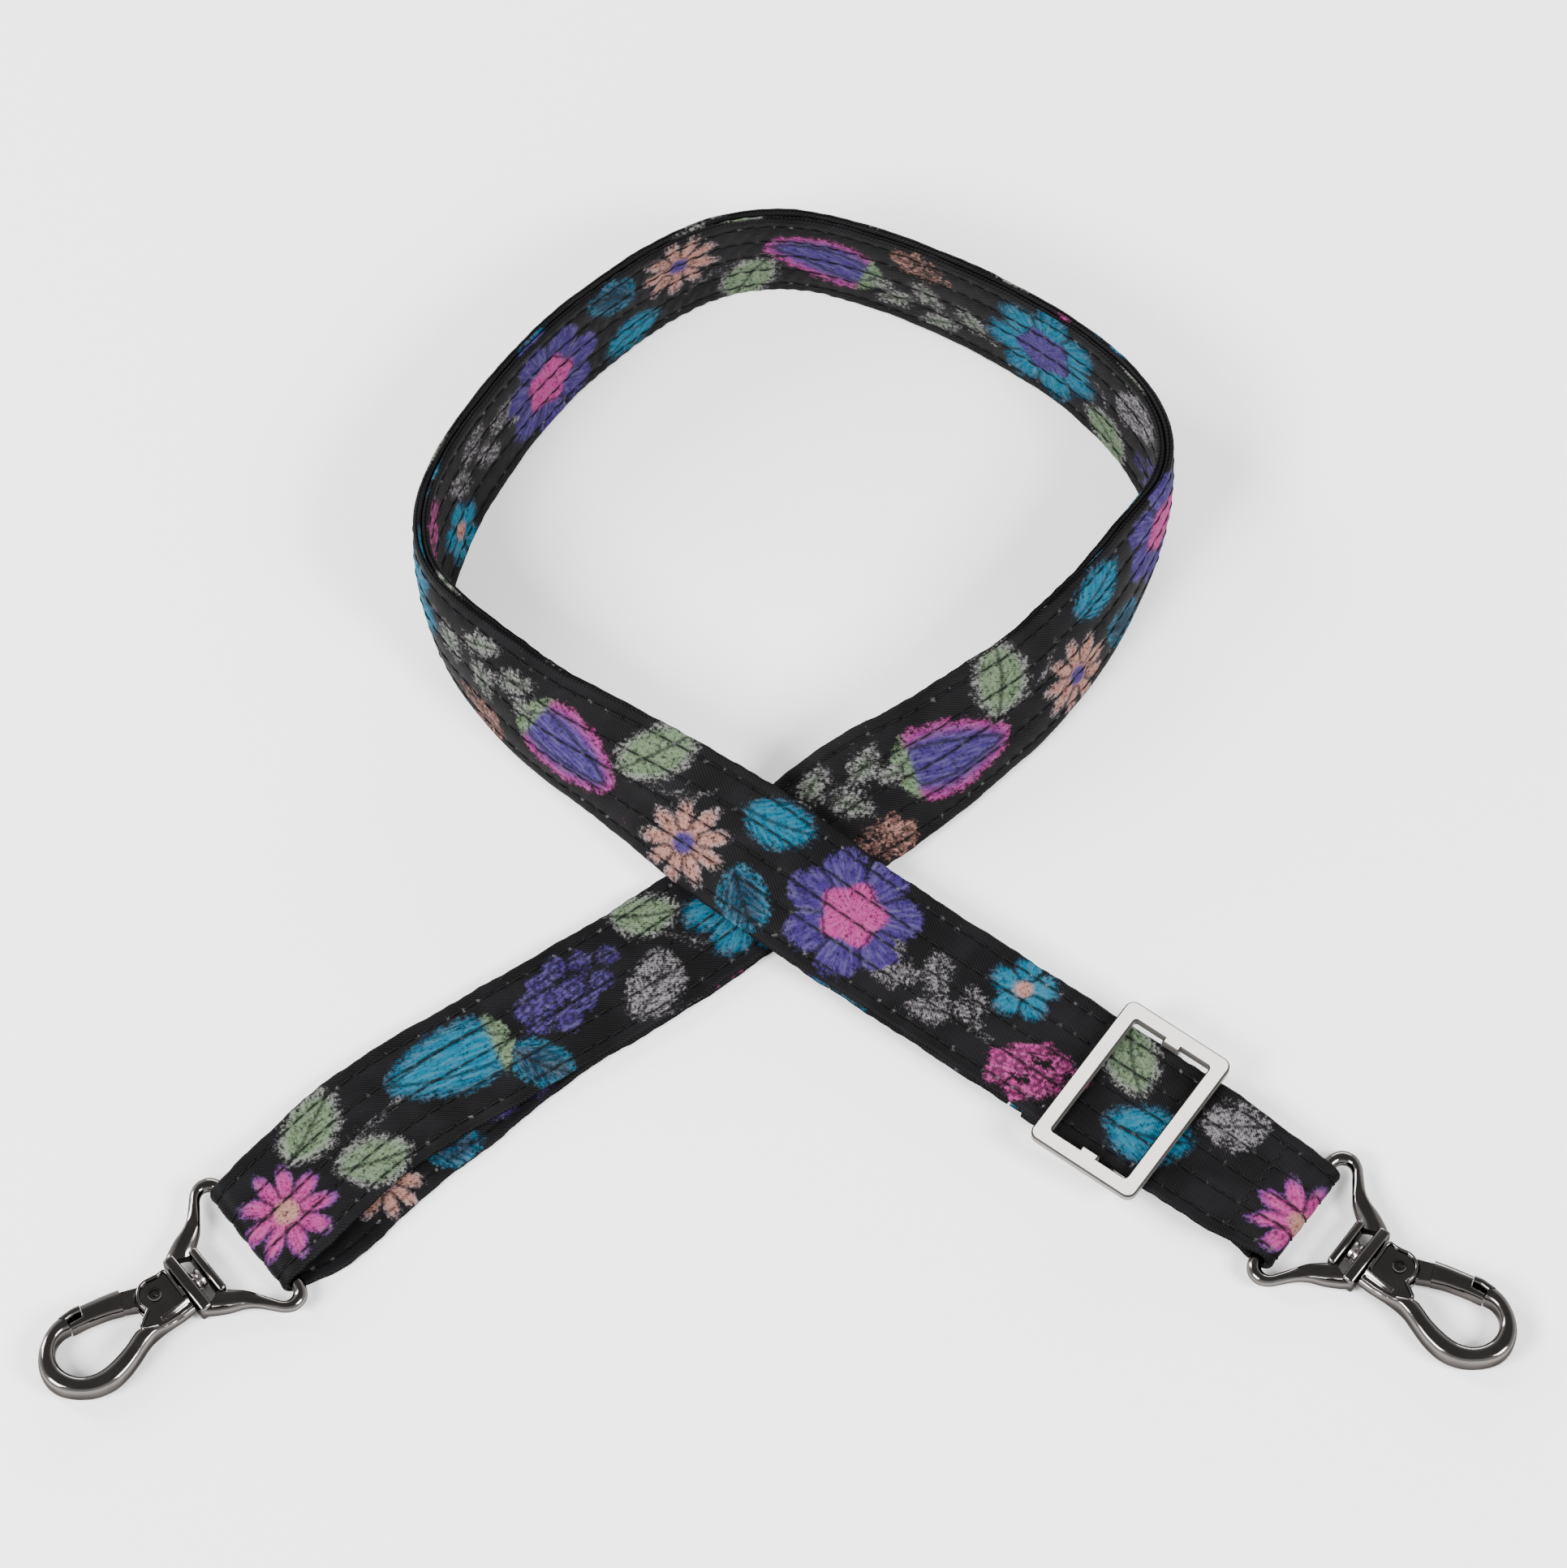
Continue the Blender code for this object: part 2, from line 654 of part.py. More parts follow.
    def seams(self, slider):
        """The right tab's seam, above and below it, and the end loop's seam, below it."""
        above = BAR_HEIGHT + FOLD_RADIUS + STRAP_THICKNESS / 2 + SEAT_GAP
        below = above - 2 * STRAP_THICKNESS - 3 * SEAT_GAP - THREAD
        self.seam("right_tab_seam_upper", self.right_bar, -TAB_SEAM, above)
        self.seam("right_tab_seam_lower", self.right_bar, -TAB_SEAM, below)
        run = self.route.frame(self.slider_place)
        along = MIDDLE_BAR_LENGTH / 2 - END_LOOP_LENGTH * 0.8
        height = CROSSING_LIFT - STRAP_THICKNESS - 2 * SEAT_GAP - THREAD
        self.seam("slider_loop_seam", run, along, height, slider)


def make_slider(route, place, metal, parent):
    """The slider: a frame over the strap with a middle bar dropped below it."""
    run = route.frame(place)
    plate_low = CROSSING_LIFT + STACK_HEIGHT + SEAT_GAP
    half_across = STRAP_WIDTH / 2 + SLIDER_SIDE_CLEARANCE
    outer = rounded_rectangle(SLIDER_LENGTH / 2, half_across + SLIDER_CHEEK, SLIDER_CORNER)
    window = rounded_rectangle(SLIDER_LENGTH / 2 - SLIDER_RAIL, half_across, SLIDER_CORNER / 3, 2)
    bm = plate_bmesh([outer, window], SLIDER_PLATE / 2, SLIDER_PLATE / 6)
    plate_middle = plate_low + SLIDER_PLATE / 2
    bmesh.ops.translate(bm, vec=(0, 0, plate_middle), verts=bm.verts)
    frame = add_object("slider_frame", bm, metal, parent)

    bar_low = CROSSING_LIFT - SEAT_GAP - MIDDLE_BAR_THICKNESS
    inner = half_across - SEAT_GAP
    outer_arm = inner + MIDDLE_BAR_ARM
    bm = bmesh.new()
    profile = (
        (-outer_arm, plate_middle), (-outer_arm, bar_low), (outer_arm, bar_low), (outer_arm, plate_middle),
        (inner, plate_middle), (inner, bar_low + MIDDLE_BAR_THICKNESS),
        (-inner, bar_low + MIDDLE_BAR_THICKNESS), (-inner, plate_middle),
    )
    face = bm.faces.new([bm.verts.new((-MIDDLE_BAR_LENGTH / 2, y, z)) for y, z in profile])
    grown = bmesh.ops.extrude_face_region(bm, geom=[face])
    moved = [item for item in grown["geom"] if isinstance(item, bmesh.types.BMVert)]
    bmesh.ops.translate(bm, vec=(MIDDLE_BAR_LENGTH, 0, 0), verts=moved)
    cut(frame, add_object("slider_middle_bar_shape", bm, metal, parent), "UNION")
    return frame


class Clip:
    """A swivel trigger clip, modelled along +X from its bar's axis, with its gate on the +Y side."""

    # Half of the ring's window and of its rim, from the strap side to the hub.
    # x as a share of RING_REACH, y as a share of the way from the hub's side to the window's
    WINDOW_ARM_SHARES = (
        (0.19, 1.0), (0.245, 0.943), (0.3, 0.774), (0.385, 0.515), (0.46, 0.296), (0.55, 0.11),
    )
    RIM_CORNER_SHARES = (
        (-0.03, 1.171), (0.07, 1.332), (0.17, 1.361), (0.28, 1.228), (0.38, 0.971),
        (0.49, 0.668), (0.6, 0.497), (0.74, 0.345), (0.88, 0.165), (0.99, 0.003),
    )
    # Hook and gate outlines, as shares of HOOK_LENGTH from the middle of the hook's base
    SPINE_SHARES = (
        (0.0, -0.158), (0.067, -0.165), (0.152, -0.162), (0.263, -0.152), (0.354, -0.173),
        (0.451, -0.212), (0.549, -0.247), (0.663, -0.264), (0.791, -0.239), (0.899, -0.172),
        (0.976, -0.081), (1.0, 0.01), (0.98, 0.108), (0.923, 0.189), (0.845, 0.249),
        (0.758, 0.286), (0.657, 0.301),
    )
    EYE_SHARES = (
        (0.731, 0.194), (0.801, 0.172), (0.855, 0.114), (0.872, 0.03), (0.848, -0.051),
        (0.791, -0.108), (0.697, -0.135), (0.589, -0.126), (0.481, -0.098), (0.384, -0.057),
        (0.29, -0.017),
    )
    GATE_OUTER_SHARES = ((0.407, 0.26), (0.283, 0.226), (0.21, 0.19))
    GATE_INNER_SHARES = ((0.278, 0.051), (0.347, 0.084), (0.471, 0.133))
    BASE_GATE_SIDE_SHARES = ((0.067, 0.16), (0.0, 0.158))
    PIN_SHARES = (0.152, 0.057)
    CHEEK_SHARE = 0.1145
    LIP_SHARE = 0.443
    TONGUE_SHARE = 0.505
    # Directions from the pin, in degrees
    LIP_OUTER = 31.2
    LIP_MIDDLE = 22.0
    TONGUE_MIDDLE = 20.4
    TONGUE_INNER = 13.6
    CHEEK_START = -32.0
    CHEEK_END = 98.0
    WEB = (0.0, 65.0)
    SLOT = (-26.0, 80.0)
    SPRING = (105.0, 340.0)

    def __init__(self, side, bar, heading, roll, metal, dark):
        self.side = side
        self.metal = metal
        self.dark = dark
        self.window_half = STRAP_WIDTH / 2 + RING_SIDE_CLEARANCE
        self.pin = (HOOK_START + self.PIN_SHARES[0] * HOOK_LENGTH, self.PIN_SHARES[1] * HOOK_LENGTH)
        self.cheek = self.CHEEK_SHARE * HOOK_LENGTH
        self.pin_bore = PIN_RADIUS + SEAT_GAP
        self.knuckle = self.pin_bore + KNUCKLE_WALL
        self.spring_radius = self.knuckle + SEAT_GAP + SPRING_LEAF / 2
        self.slot_radius = self.spring_radius + SPRING_LEAF / 2 + SEAT_GAP
        self.slot_half = GATE_TONGUE / 2 + TONGUE_CLEARANCE
        turn = (roll, 0.0, heading)
        self.ring_axis = empty(f"{side}_ring_axis", location=bar, rotation=turn)
        self.hook_axis = empty(f"{side}_hook_axis", self.ring_axis, (HOOK_START, 0.0, 0.0))
        pin_place = (self.pin[0] - HOOK_START, self.pin[1], 0.0)
        self.gate_axis = empty(f"{side}_gate_axis", self.hook_axis, pin_place)

    def on_hook(self, made):
        """Hang an object on the hook, in the clip's own coordinates."""
        made.parent = self.hook_axis
        made.location = (-HOOK_START, 0.0, 0.0)
        return made

    def on_gate(self, made):
        """Hang an object on the gate, in the clip's own coordinates."""
        made.parent = self.gate_axis
        made.location = (-self.pin[0], -self.pin[1], 0.0)
        return made

    def points(self, shares):
        """Outline points from shares of the hook's length."""
        return [(HOOK_START + x * HOOK_LENGTH, y * HOOK_LENGTH) for x, y in shares]

    def polar(self, radius, angle):
        """A point at a radius and an angle from the gate's pin."""
        return arc(self.pin, radius, angle, angle, 1)[0]

    def arm(self, shares, hub_half):
        """Outline points of the ring's arm, which runs from the hub's side to the window's."""
        room = self.window_half - hub_half
        return [(x * RING_REACH, hub_half + y * room) for x, y in shares]

    def hub_places(self):
        """Where the two bars of the hub start and end along the clip."""
        outer_start = RING_REACH - OUTER_BAR_THICKNESS
        inner_end = outer_start - HUB_WINDOW
        return inner_end - INNER_BAR_THICKNESS, inner_end, outer_start

    def make_ring(self):
        """The ring that the webbing goes round, with the two bars of its swivel hub."""
        inner_start, inner_end, outer_start = self.hub_places()
        buried = INNER_BAR_THICKNESS / 8
        window_arm = self.arm(self.WINDOW_ARM_SHARES, INNER_BAR_HALF_WIDTH)
        corner = (BAR_RADIUS + RING_CORNER, self.window_half - RING_CORNER)
        corner_arc = arc(corner, RING_CORNER, 180, 90, 3)
        hub_corner = (inner_start + buried, INNER_BAR_HALF_WIDTH - buried)
        window = [(BAR_RADIUS, 0.0)] + corner_arc + smooth_line(window_arm, 2)
        window += [hub_corner, (hub_corner[0], 0.0)]
        rim_arm = self.arm(self.RIM_CORNER_SHARES, HUB_HALF_WIDTH)
        rim = [(-BAR_RADIUS, 0.0), (-BAR_RADIUS, self.window_half * 0.98)] + smooth_line(rim_arm, 2)
        rim += [(RING_REACH - buried, HUB_HALF_WIDTH - buried), (RING_REACH - buried, 0.0)]
        outlines = [mirrored(rim), mirrored(window)]
        name = f"{self.side}_swivel_ring"
        ring = plate(name, outlines, BAR_RADIUS, BAR_RADIUS * 0.7, self.metal, self.ring_axis)
        bars = (
            ("inner", inner_start, inner_end + buried, INNER_BAR_HALF_WIDTH),
            ("outer", outer_start - buried, RING_REACH, HUB_HALF_WIDTH),
        )
        for name, start, end, half in bars:
            low = (start, -half, -HUB_THICKNESS / 2)
            high = (end, half, HUB_THICKNESS / 2)
            shape = box(f"{self.side}_{name}_bar_shape", low, high, self.metal, self.ring_axis, buried * 1.5)
            cut(ring, shape, "UNION")
        half = INNER_BAR_HALF_WIDTH - OUTER_BAR_THICKNESS / 4
        low = (inner_end, -half, -HUB_THICKNESS)
        high = (outer_start, half, HUB_THICKNESS)
        cut(ring, box(f"{self.side}_hub_window_shape", low, high, self.metal, self.ring_axis))
        bore = RIVET_RADIUS + SEAT_GAP
        through = OUTER_BAR_THICKNESS
        place = (outer_start + through / 2, 0.0, 0.0)
        profile = ((bore, -through), (bore, through))
        shape = turned(
            f"{self.side}_rivet_bore_shape", profile, (1, 0, 0), place, self.metal, self.ring_axis
        )
        cut(ring, shape)
        return ring

    def make_swivel(self):
        """The rivet that holds the hook to the hub, and its washer."""
        _, inner_end, outer_start = self.hub_places()
        washer_end = outer_start - SEAT_GAP
        washer_start = washer_end - WASHER_THICKNESS
        head_end = washer_start - SEAT_GAP
        head_start = head_end - RIVET_HEAD_THICKNESS
        tip = HOOK_START + RIVET_DEPTH
        profile = (
            (RIVET_HEAD_RADIUS * 0.8, head_start),
            (RIVET_HEAD_RADIUS, head_start + RIVET_HEAD_THICKNESS / 3),
            (RIVET_HEAD_RADIUS, head_end),
            (RIVET_RADIUS, head_end),
            (RIVET_RADIUS, tip),
        )
        name = f"{self.side}_swivel_rivet"
        self.on_hook(turned(name, profile, (1, 0, 0), (0, 0, 0), self.metal))
        hole = RIVET_RADIUS + SEAT_GAP
        profile = (
            (hole, washer_start), (WASHER_RADIUS, washer_start), (WASHER_RADIUS, washer_end),
            (hole, washer_end), (hole, washer_start),
        )
        name = f"{self.side}_swivel_washer"
        self.on_hook(turned(name, profile, (1, 0, 0), (0, 0, 0), self.metal))

    def make_hook(self):
        """The hook, forked at its base for the gate and stepped at its nose."""
        lip = self.LIP_SHARE * HOOK_LENGTH + SEAM_GAP
        tongue = self.TONGUE_SHARE * HOOK_LENGTH + SEAM_GAP
        turn = math.degrees(SEAM_GAP / lip)
        outline = smooth_line(self.points(self.SPINE_SHARES) + [self.polar(lip, self.LIP_OUTER)])
        outline.append(self.polar(lip, self.LIP_MIDDLE + turn))
        outline.append(self.polar(tongue, self.TONGUE_MIDDLE + turn))
        outline += smooth_line([self.polar(tongue, self.TONGUE_INNER)] + self.points(self.EYE_SHARES))
        outline += arc(self.pin, self.cheek, self.CHEEK_START, self.CHEEK_END, 12)
        outline += self.points(self.BASE_GATE_SIDE_SHARES)
        name = f"{self.side}_hook_body"
        hook = self.on_hook(plate(name, [outline], HOOK_THICKNESS / 2, HOOK_ROUNDING * 0.7, self.metal))

        reach = self.cheek * 1.4
        slot = arc(self.pin, self.slot_radius, self.SLOT[1], 360 + self.SLOT[0], 16)
        slot += arc(self.pin, reach, self.SLOT[0], self.SLOT[1], 6)
        name = f"{self.side}_gate_slot_shape"
        cut(hook, self.on_hook(plate(name, [slot], self.slot_half, 0.0, self.metal)))

        recess = PIN_HEAD_RADIUS + SEAT_GAP
        floor = HOOK_THICKNESS / 2 - PIN_HEAD_THICKNESS - SEAT_GAP
        clear = HOOK_THICKNESS
        profile = (
            (recess, -clear), (recess, -floor), (self.pin_bore, -floor),
            (self.pin_bore, floor), (recess, floor), (recess, clear),
        )
        name = f"{self.side}_pin_bore_shape"
        cut(hook, self.on_hook(turned(name, profile, (0, 0, 1), (*self.pin, 0.0), self.metal)))

        bore = RIVET_RADIUS + SEAT_GAP
        profile = ((bore, -RIVET_DEPTH), (bore, RIVET_DEPTH + SEAT_GAP))
        name = f"{self.side}_rivet_socket_shape"
        cut(hook, self.on_hook(turned(name, profile, (1, 0, 0), (HOOK_START, 0.0, 0.0), self.metal)))
        return hook

    def make_gate(self):
        """The gate, with a tongue that hinges in the hook's fork."""
        lip = self.LIP_SHARE * HOOK_LENGTH
        tongue = self.TONGUE_SHARE * HOOK_LENGTH
        shoulder = self.cheek + SEAM_GAP
        outline = smooth_line([self.polar(lip, self.LIP_OUTER)] + self.points(self.GATE_OUTER_SHARES))
        outline += arc(self.pin, shoulder, self.WEB[1] + 4, self.WEB[0] - 2, 6)
        outline += smooth_line(self.points(self.GATE_INNER_SHARES) + [self.polar(tongue, self.TONGUE_INNER)])
        outline.append(self.polar(tongue, self.TONGUE_MIDDLE))
        outline.append(self.polar(lip, self.LIP_MIDDLE))
        name = f"{self.side}_gate"
        gate = self.on_gate(plate(name, [outline], GATE_THICKNESS / 2, GATE_ROUNDING * 0.7, self.metal))

        web = arc(self.pin, self.knuckle, self.WEB[1], 360 + self.WEB[0], 14)
        web += arc(self.pin, shoulder + GATE_TONGUE / 2, self.WEB[0] + 4, self.WEB[1] - 4, 5)
        name = f"{self.side}_gate_web_shape"
        cut(gate, self.on_gate(plate(name, [web], GATE_TONGUE / 2, 0.0, self.metal)), "UNION")
        profile = ((self.pin_bore, -GATE_THICKNESS), (self.pin_bore, GATE_THICKNESS))
        name = f"{self.side}_gate_bore_shape"
        cut(gate, self.on_gate(turned(name, profile, (0, 0, 1), (*self.pin, 0.0), self.metal)))
        return gate

    def make_pin(self):
        """The gate's pin, its heads sunk in the hook's two faces."""
        top = HOOK_THICKNESS / 2
        head = top - PIN_HEAD_THICKNESS
        profile = (
            (PIN_HEAD_RADIUS, -top), (PIN_HEAD_RADIUS, -head), (PIN_RADIUS, -head),
            (PIN_RADIUS, head), (PIN_HEAD_RADIUS, head), (PIN_HEAD_RADIUS, top),
        )
        name = f"{self.side}_gate_pin"
        return self.on_hook(turned(name, profile, (0, 0, 1), (*self.pin, 0.0), self.metal))

    def make_spring(self):
        """The leaf spring round the gate's knuckle, which closes the gate."""
        inner = self.spring_radius - SPRING_LEAF / 2
        outer = self.spring_radius + SPRING_LEAF / 2
        outline = arc(self.pin, outer, *self.SPRING, 14) + arc(self.pin, inner, *reversed(self.SPRING), 14)
        name = f"{self.side}_gate_spring"
        return self.on_hook(plate(name, [outline], SPRING_WIDTH / 2, 0.0, self.dark))

    def make(self):
        """Make every piece of the clip."""
        self.make_ring()
        self.make_swivel()
        self.make_hook()
        self.make_gate()
        self.make_pin()
        self.make_spring()


def centre_on_floor():
    """Move everything so that the middle of the bounding box's base is the origin."""
    bpy.context.view_layer.update()
    graph = bpy.context.evaluated_depsgraph_get()
    corners = []
    for thing in bpy.data.objects:
        if thing.type == "MESH" and not thing.hide_render:
            mesh = thing.evaluated_get(graph).data
            corners += [thing.matrix_world @ vertex.co for vertex in mesh.vertices]
    low = Vector([min(c[i] for c in corners) for i in range(3)])
    high = Vector([max(c[i] for c in corners) for i in range(3)])
    shift = Vector((-(low.x + high.x) / 2, -(low.y + high.y) / 2, -low.z))
    for thing in bpy.data.objects:
        if thing.parent is None:
            thing.location += shift
    bpy.context.view_layer.update()


def build():
    """Model the whole strap."""
    for thing in list(bpy.data.objects):
        bpy.data.objects.remove(thing, do_unlink=True)
    cloth = material("quilted_cloth", (0.03, 0.03, 0.035), 0.7, 0.0)
    thread = material("thread", (0.015, 0.015, 0.015), 0.8, 0.0)
    gunmetal = material("gunmetal", (0.16, 0.15, 0.155), 0.2, 1.0)
    nickel = material("light_nickel", (0.75, 0.72, 0.69), 0.25, 1.0)
    steel = material("spring_steel", (0.3, 0.3, 0.32), 0.35, 1.0)

    route = Route()
    strap = Strap(route, cloth, thread)
    strap.outer_run()
    strap.inner_run()
    strap.feed_run()

    run = route.frame(strap.slider_place)
    slider_place = (run.middle[0], run.middle[1], 0.0)
    slider = empty("slider_axis", location=slider_place, rotation=(0.0, 0.0, run.heading()))
    make_slider(route, strap.slider_place, nickel, slider)
    carried = empty("slider_cloth", slider)
    carried.matrix_parent_inverse = (
        Matrix.Translation(slider_place) @ Matrix.Rotation(run.heading(), 4, "Z")
    ).inverted()
    strap.end_loop(carried)
    strap.seams(carried)

    ends = (
        ("left", strap.left_bar, LEFT_BAR_SHIFT, math.pi),
        ("right", strap.right_bar, RIGHT_BAR_SHIFT, 0.0),
    )
    for side, bar, shift, turn in ends:
        middle = bar.middle + bar.across * shift
        place = (middle[0], middle[1], BAR_HEIGHT)
        Clip(side, place, bar.heading() + turn, turn, gunmetal, steel).make()
    centre_on_floor()


build()
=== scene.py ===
"""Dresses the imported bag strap: quilted printed webbing, its stitching, the slider and the two clips.

Metres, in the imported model's frame. The webbing follows the same route as its solids.
"""

import json
import logging
import math
from dataclasses import dataclass
from enum import Enum
from typing import Callable, Sequence

import bmesh
import bpy
import numpy as np
from mathutils import Matrix, Vector

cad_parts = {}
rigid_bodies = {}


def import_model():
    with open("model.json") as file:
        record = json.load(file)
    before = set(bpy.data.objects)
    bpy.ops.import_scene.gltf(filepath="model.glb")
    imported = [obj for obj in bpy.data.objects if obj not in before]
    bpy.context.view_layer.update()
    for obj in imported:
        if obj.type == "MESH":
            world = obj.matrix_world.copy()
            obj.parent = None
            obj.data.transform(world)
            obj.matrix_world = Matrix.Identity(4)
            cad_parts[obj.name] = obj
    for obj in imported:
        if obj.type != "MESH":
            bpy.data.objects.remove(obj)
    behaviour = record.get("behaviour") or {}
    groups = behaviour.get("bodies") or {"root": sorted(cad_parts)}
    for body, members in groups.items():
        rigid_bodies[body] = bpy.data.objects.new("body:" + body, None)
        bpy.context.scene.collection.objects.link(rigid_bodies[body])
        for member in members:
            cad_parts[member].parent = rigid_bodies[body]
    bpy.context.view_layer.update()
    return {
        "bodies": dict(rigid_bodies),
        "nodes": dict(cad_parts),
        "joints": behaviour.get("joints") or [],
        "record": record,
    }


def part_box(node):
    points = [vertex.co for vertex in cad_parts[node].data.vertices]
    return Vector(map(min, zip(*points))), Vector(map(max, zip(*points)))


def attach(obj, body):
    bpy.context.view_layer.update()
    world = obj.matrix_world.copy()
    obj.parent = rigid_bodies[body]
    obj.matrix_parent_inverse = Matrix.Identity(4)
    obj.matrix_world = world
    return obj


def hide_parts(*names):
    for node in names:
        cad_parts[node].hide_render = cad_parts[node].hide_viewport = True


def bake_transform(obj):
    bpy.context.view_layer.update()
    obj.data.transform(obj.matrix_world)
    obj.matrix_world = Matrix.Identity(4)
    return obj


LOG = logging.getLogger("bag_strap")
Array = np.ndarray


def linear(red: int, green: int, blue: int) -> tuple[float, float, float]:
    """The linear colour of an 8-bit screen colour."""
    shares = [channel / 255 for channel in (red, green, blue)]
    return tuple(s / 12.92 if s < 0.04045 else ((s + 0.055) / 1.055) ** 2.4 for s in shares)


def ease(share: Array) -> Array:
    """Smooth step from 0 to 1, for a number or an array."""
    share = np.clip(share, 0.0, 1.0)
    return share * share * (3 - 2 * share)


class Signal:
    """A shader socket that Python expressions can use, each adding its Math node."""

    def __init__(self, shader: "Shader", socket: bpy.types.NodeSocket) -> None:
        """Wrap a socket of a shader's node."""
        self.shader = shader
        self.socket = socket

    def math(self, operation: str, *others: "Signal | float") -> "Signal":
        """The result of a Math node whose first value is this signal."""
        return self.shader.math(operation, self, *others)

    def __add__(self, other: "Signal | float") -> "Signal":
        """Sum."""
        return self.math("ADD", other)

    def __radd__(self, other: float) -> "Signal":
        """Sum, with a number first."""
        return self.math("ADD", other)

    def __sub__(self, other: "Signal | float") -> "Signal":
        """Difference."""
        return self.math("SUBTRACT", other)

    def __rsub__(self, other: float) -> "Signal":
        """Difference, with a number first."""
        return self.shader.math("SUBTRACT", other, self)

    def __mul__(self, other: "Signal | float") -> "Signal":
        """Product."""
        return self.math("MULTIPLY", other)

    def __rmul__(self, other: float) -> "Signal":
        """Product, with a number first."""
        return self.math("MULTIPLY", other)

    def __truediv__(self, other: "Signal | float") -> "Signal":
        """Quotient."""
        return self.math("DIVIDE", other)

    def __abs__(self) -> "Signal":
        """Size without its sign."""
        return self.math("ABSOLUTE")

    def smooth(self, low: float, high: float) -> "Signal":
        """Smooth step from 0 at low to 1 at high."""
        settings = {"interpolation_type": "SMOOTHSTEP"}
        return self.shader.node("ShaderNodeMapRange", settings, {0: self, 1: low, 2: high, 3: 0.0, 4: 1.0})


class Shader:
    """A material's node tree, with one method that adds any node."""

    def __init__(self, name: str) -> None:
        """Start a material that holds only a Principled shader.

        Args:
            name: The material's name.
        """
        self.material = bpy.data.materials.new(name)
        self.material.use_nodes = True
        self.tree = self.material.node_tree
        self.principled = self.tree.nodes["Principled BSDF"]

    def node(self, kind: str, settings: dict, inputs: dict, output: int | str = 0) -> Signal:
        """Add a node.

        Args:
            kind: The node's type.
            settings: Its properties, set first.
            inputs: Its sockets' values or signals, by index or name.
            output: The output socket to return.

        Returns:
            The chosen output.
        """
        made = self.tree.nodes.new(kind)
        for key, value in settings.items():
            setattr(made, key, value)
        for key, value in inputs.items():
            if isinstance(value, Signal):
                self.tree.links.new(value.socket, made.inputs[key])
            else:
                made.inputs[key].default_value = value
        return Signal(self, made.outputs[output])

    def math(self, operation: str, *values: Signal | float) -> Signal:
        """A Math node on two or three values."""
        return self.node("ShaderNodeMath", {"operation": operation}, dict(enumerate(values)))

    def attribute(self, name: str, output: str = "Fac") -> Signal:
        """A mesh attribute, as a number, a vector or a colour."""
        return self.node("ShaderNodeAttribute", {"attribute_name": name}, {}, output)

    def part(self, vector: Signal, axis: int) -> Signal:
        """One component of a vector."""
        return self.node("ShaderNodeSeparateXYZ", {}, {0: vector}, axis)

    def noise(self, place: Signal, scale: float, detail: float = 2.0, roughness: float = 0.5) -> Signal:
        """Noise from 0 to 1 at a place."""
        inputs = {"Vector": place, "Scale": scale, "Detail": detail, "Roughness": roughness}
        return self.node("ShaderNodeTexNoise", {}, inputs)

    def object_place(self) -> Signal:
        """The object's own coordinates."""
        return self.node("ShaderNodeTexCoord", {}, {}, "Object")

    def mix(self, factor: Signal | float, first: object, second: object) -> Signal:
        """A blend of two colours."""
        return self.node("ShaderNodeMix", {"data_type": "RGBA"}, {0: factor, 6: first, 7: second}, 2)

    def bump(self, height: Signal, distance: float, strength: float = 1.0) -> Signal:
        """A normal bent by a height, in units of distance."""
        inputs = {"Height": height, "Distance": distance, "Strength": strength}
        return self.node("ShaderNodeBump", {}, inputs, "Normal")

    def dress(self, **values: object) -> bpy.types.Material:
        """Set or link the Principled shader's sockets, named with underscores, and return the material."""
        for key, value in values.items():
            socket = self.principled.inputs[key.replace("_", " ")]
            if isinstance(value, Signal):
                self.tree.links.new(value.socket, socket)
            else:
                socket.default_value = value
        return self.material


# Share of a screen colour that a pigment needs, because the studio's light is brighter than white
STUDIO_SHARE = 0.27


def printed(red: int, green: int, blue: int) -> tuple[float, float, float]:
    """The pigment that shows as an 8-bit screen colour in the studio's light."""
    return tuple(STUDIO_SHARE * share for share in linear(red, green, blue))


class Tint(Enum):
    """Chalk colours of the print, each with how densely it covers the cloth."""

    CYAN = (*printed(0, 136, 172), 0.64)
    TEAL = (*printed(14, 78, 108), 0.55)
    SAGE = (*printed(136, 164, 124), 0.58)
    VIOLET = (*printed(84, 62, 148), 0.62)
    MAGENTA = (*printed(222, 74, 166), 0.62)
    PEACH = (*printed(228, 164, 148), 0.58)
    PALE = (*printed(184, 177, 182), 0.46)


class MotifKind(Enum):
    """Flowers and leaves of the print: petals, depth of the notches and their sharpness for a flower."""

    BLOSSOM = (5, 0.34, 0.55)
    DAISY = (9, 0.46, 0.8)
    ROSETTE = (7, 0.26, 0.6)
    LEAF = "one leaf with a midrib"
    SPRIG = "a stem with leaflets"
    STEM = "a thin bent stalk"
    CLUSTER = "a tapering cluster of florets"
    TULIP = "a closed bloom of three petals"


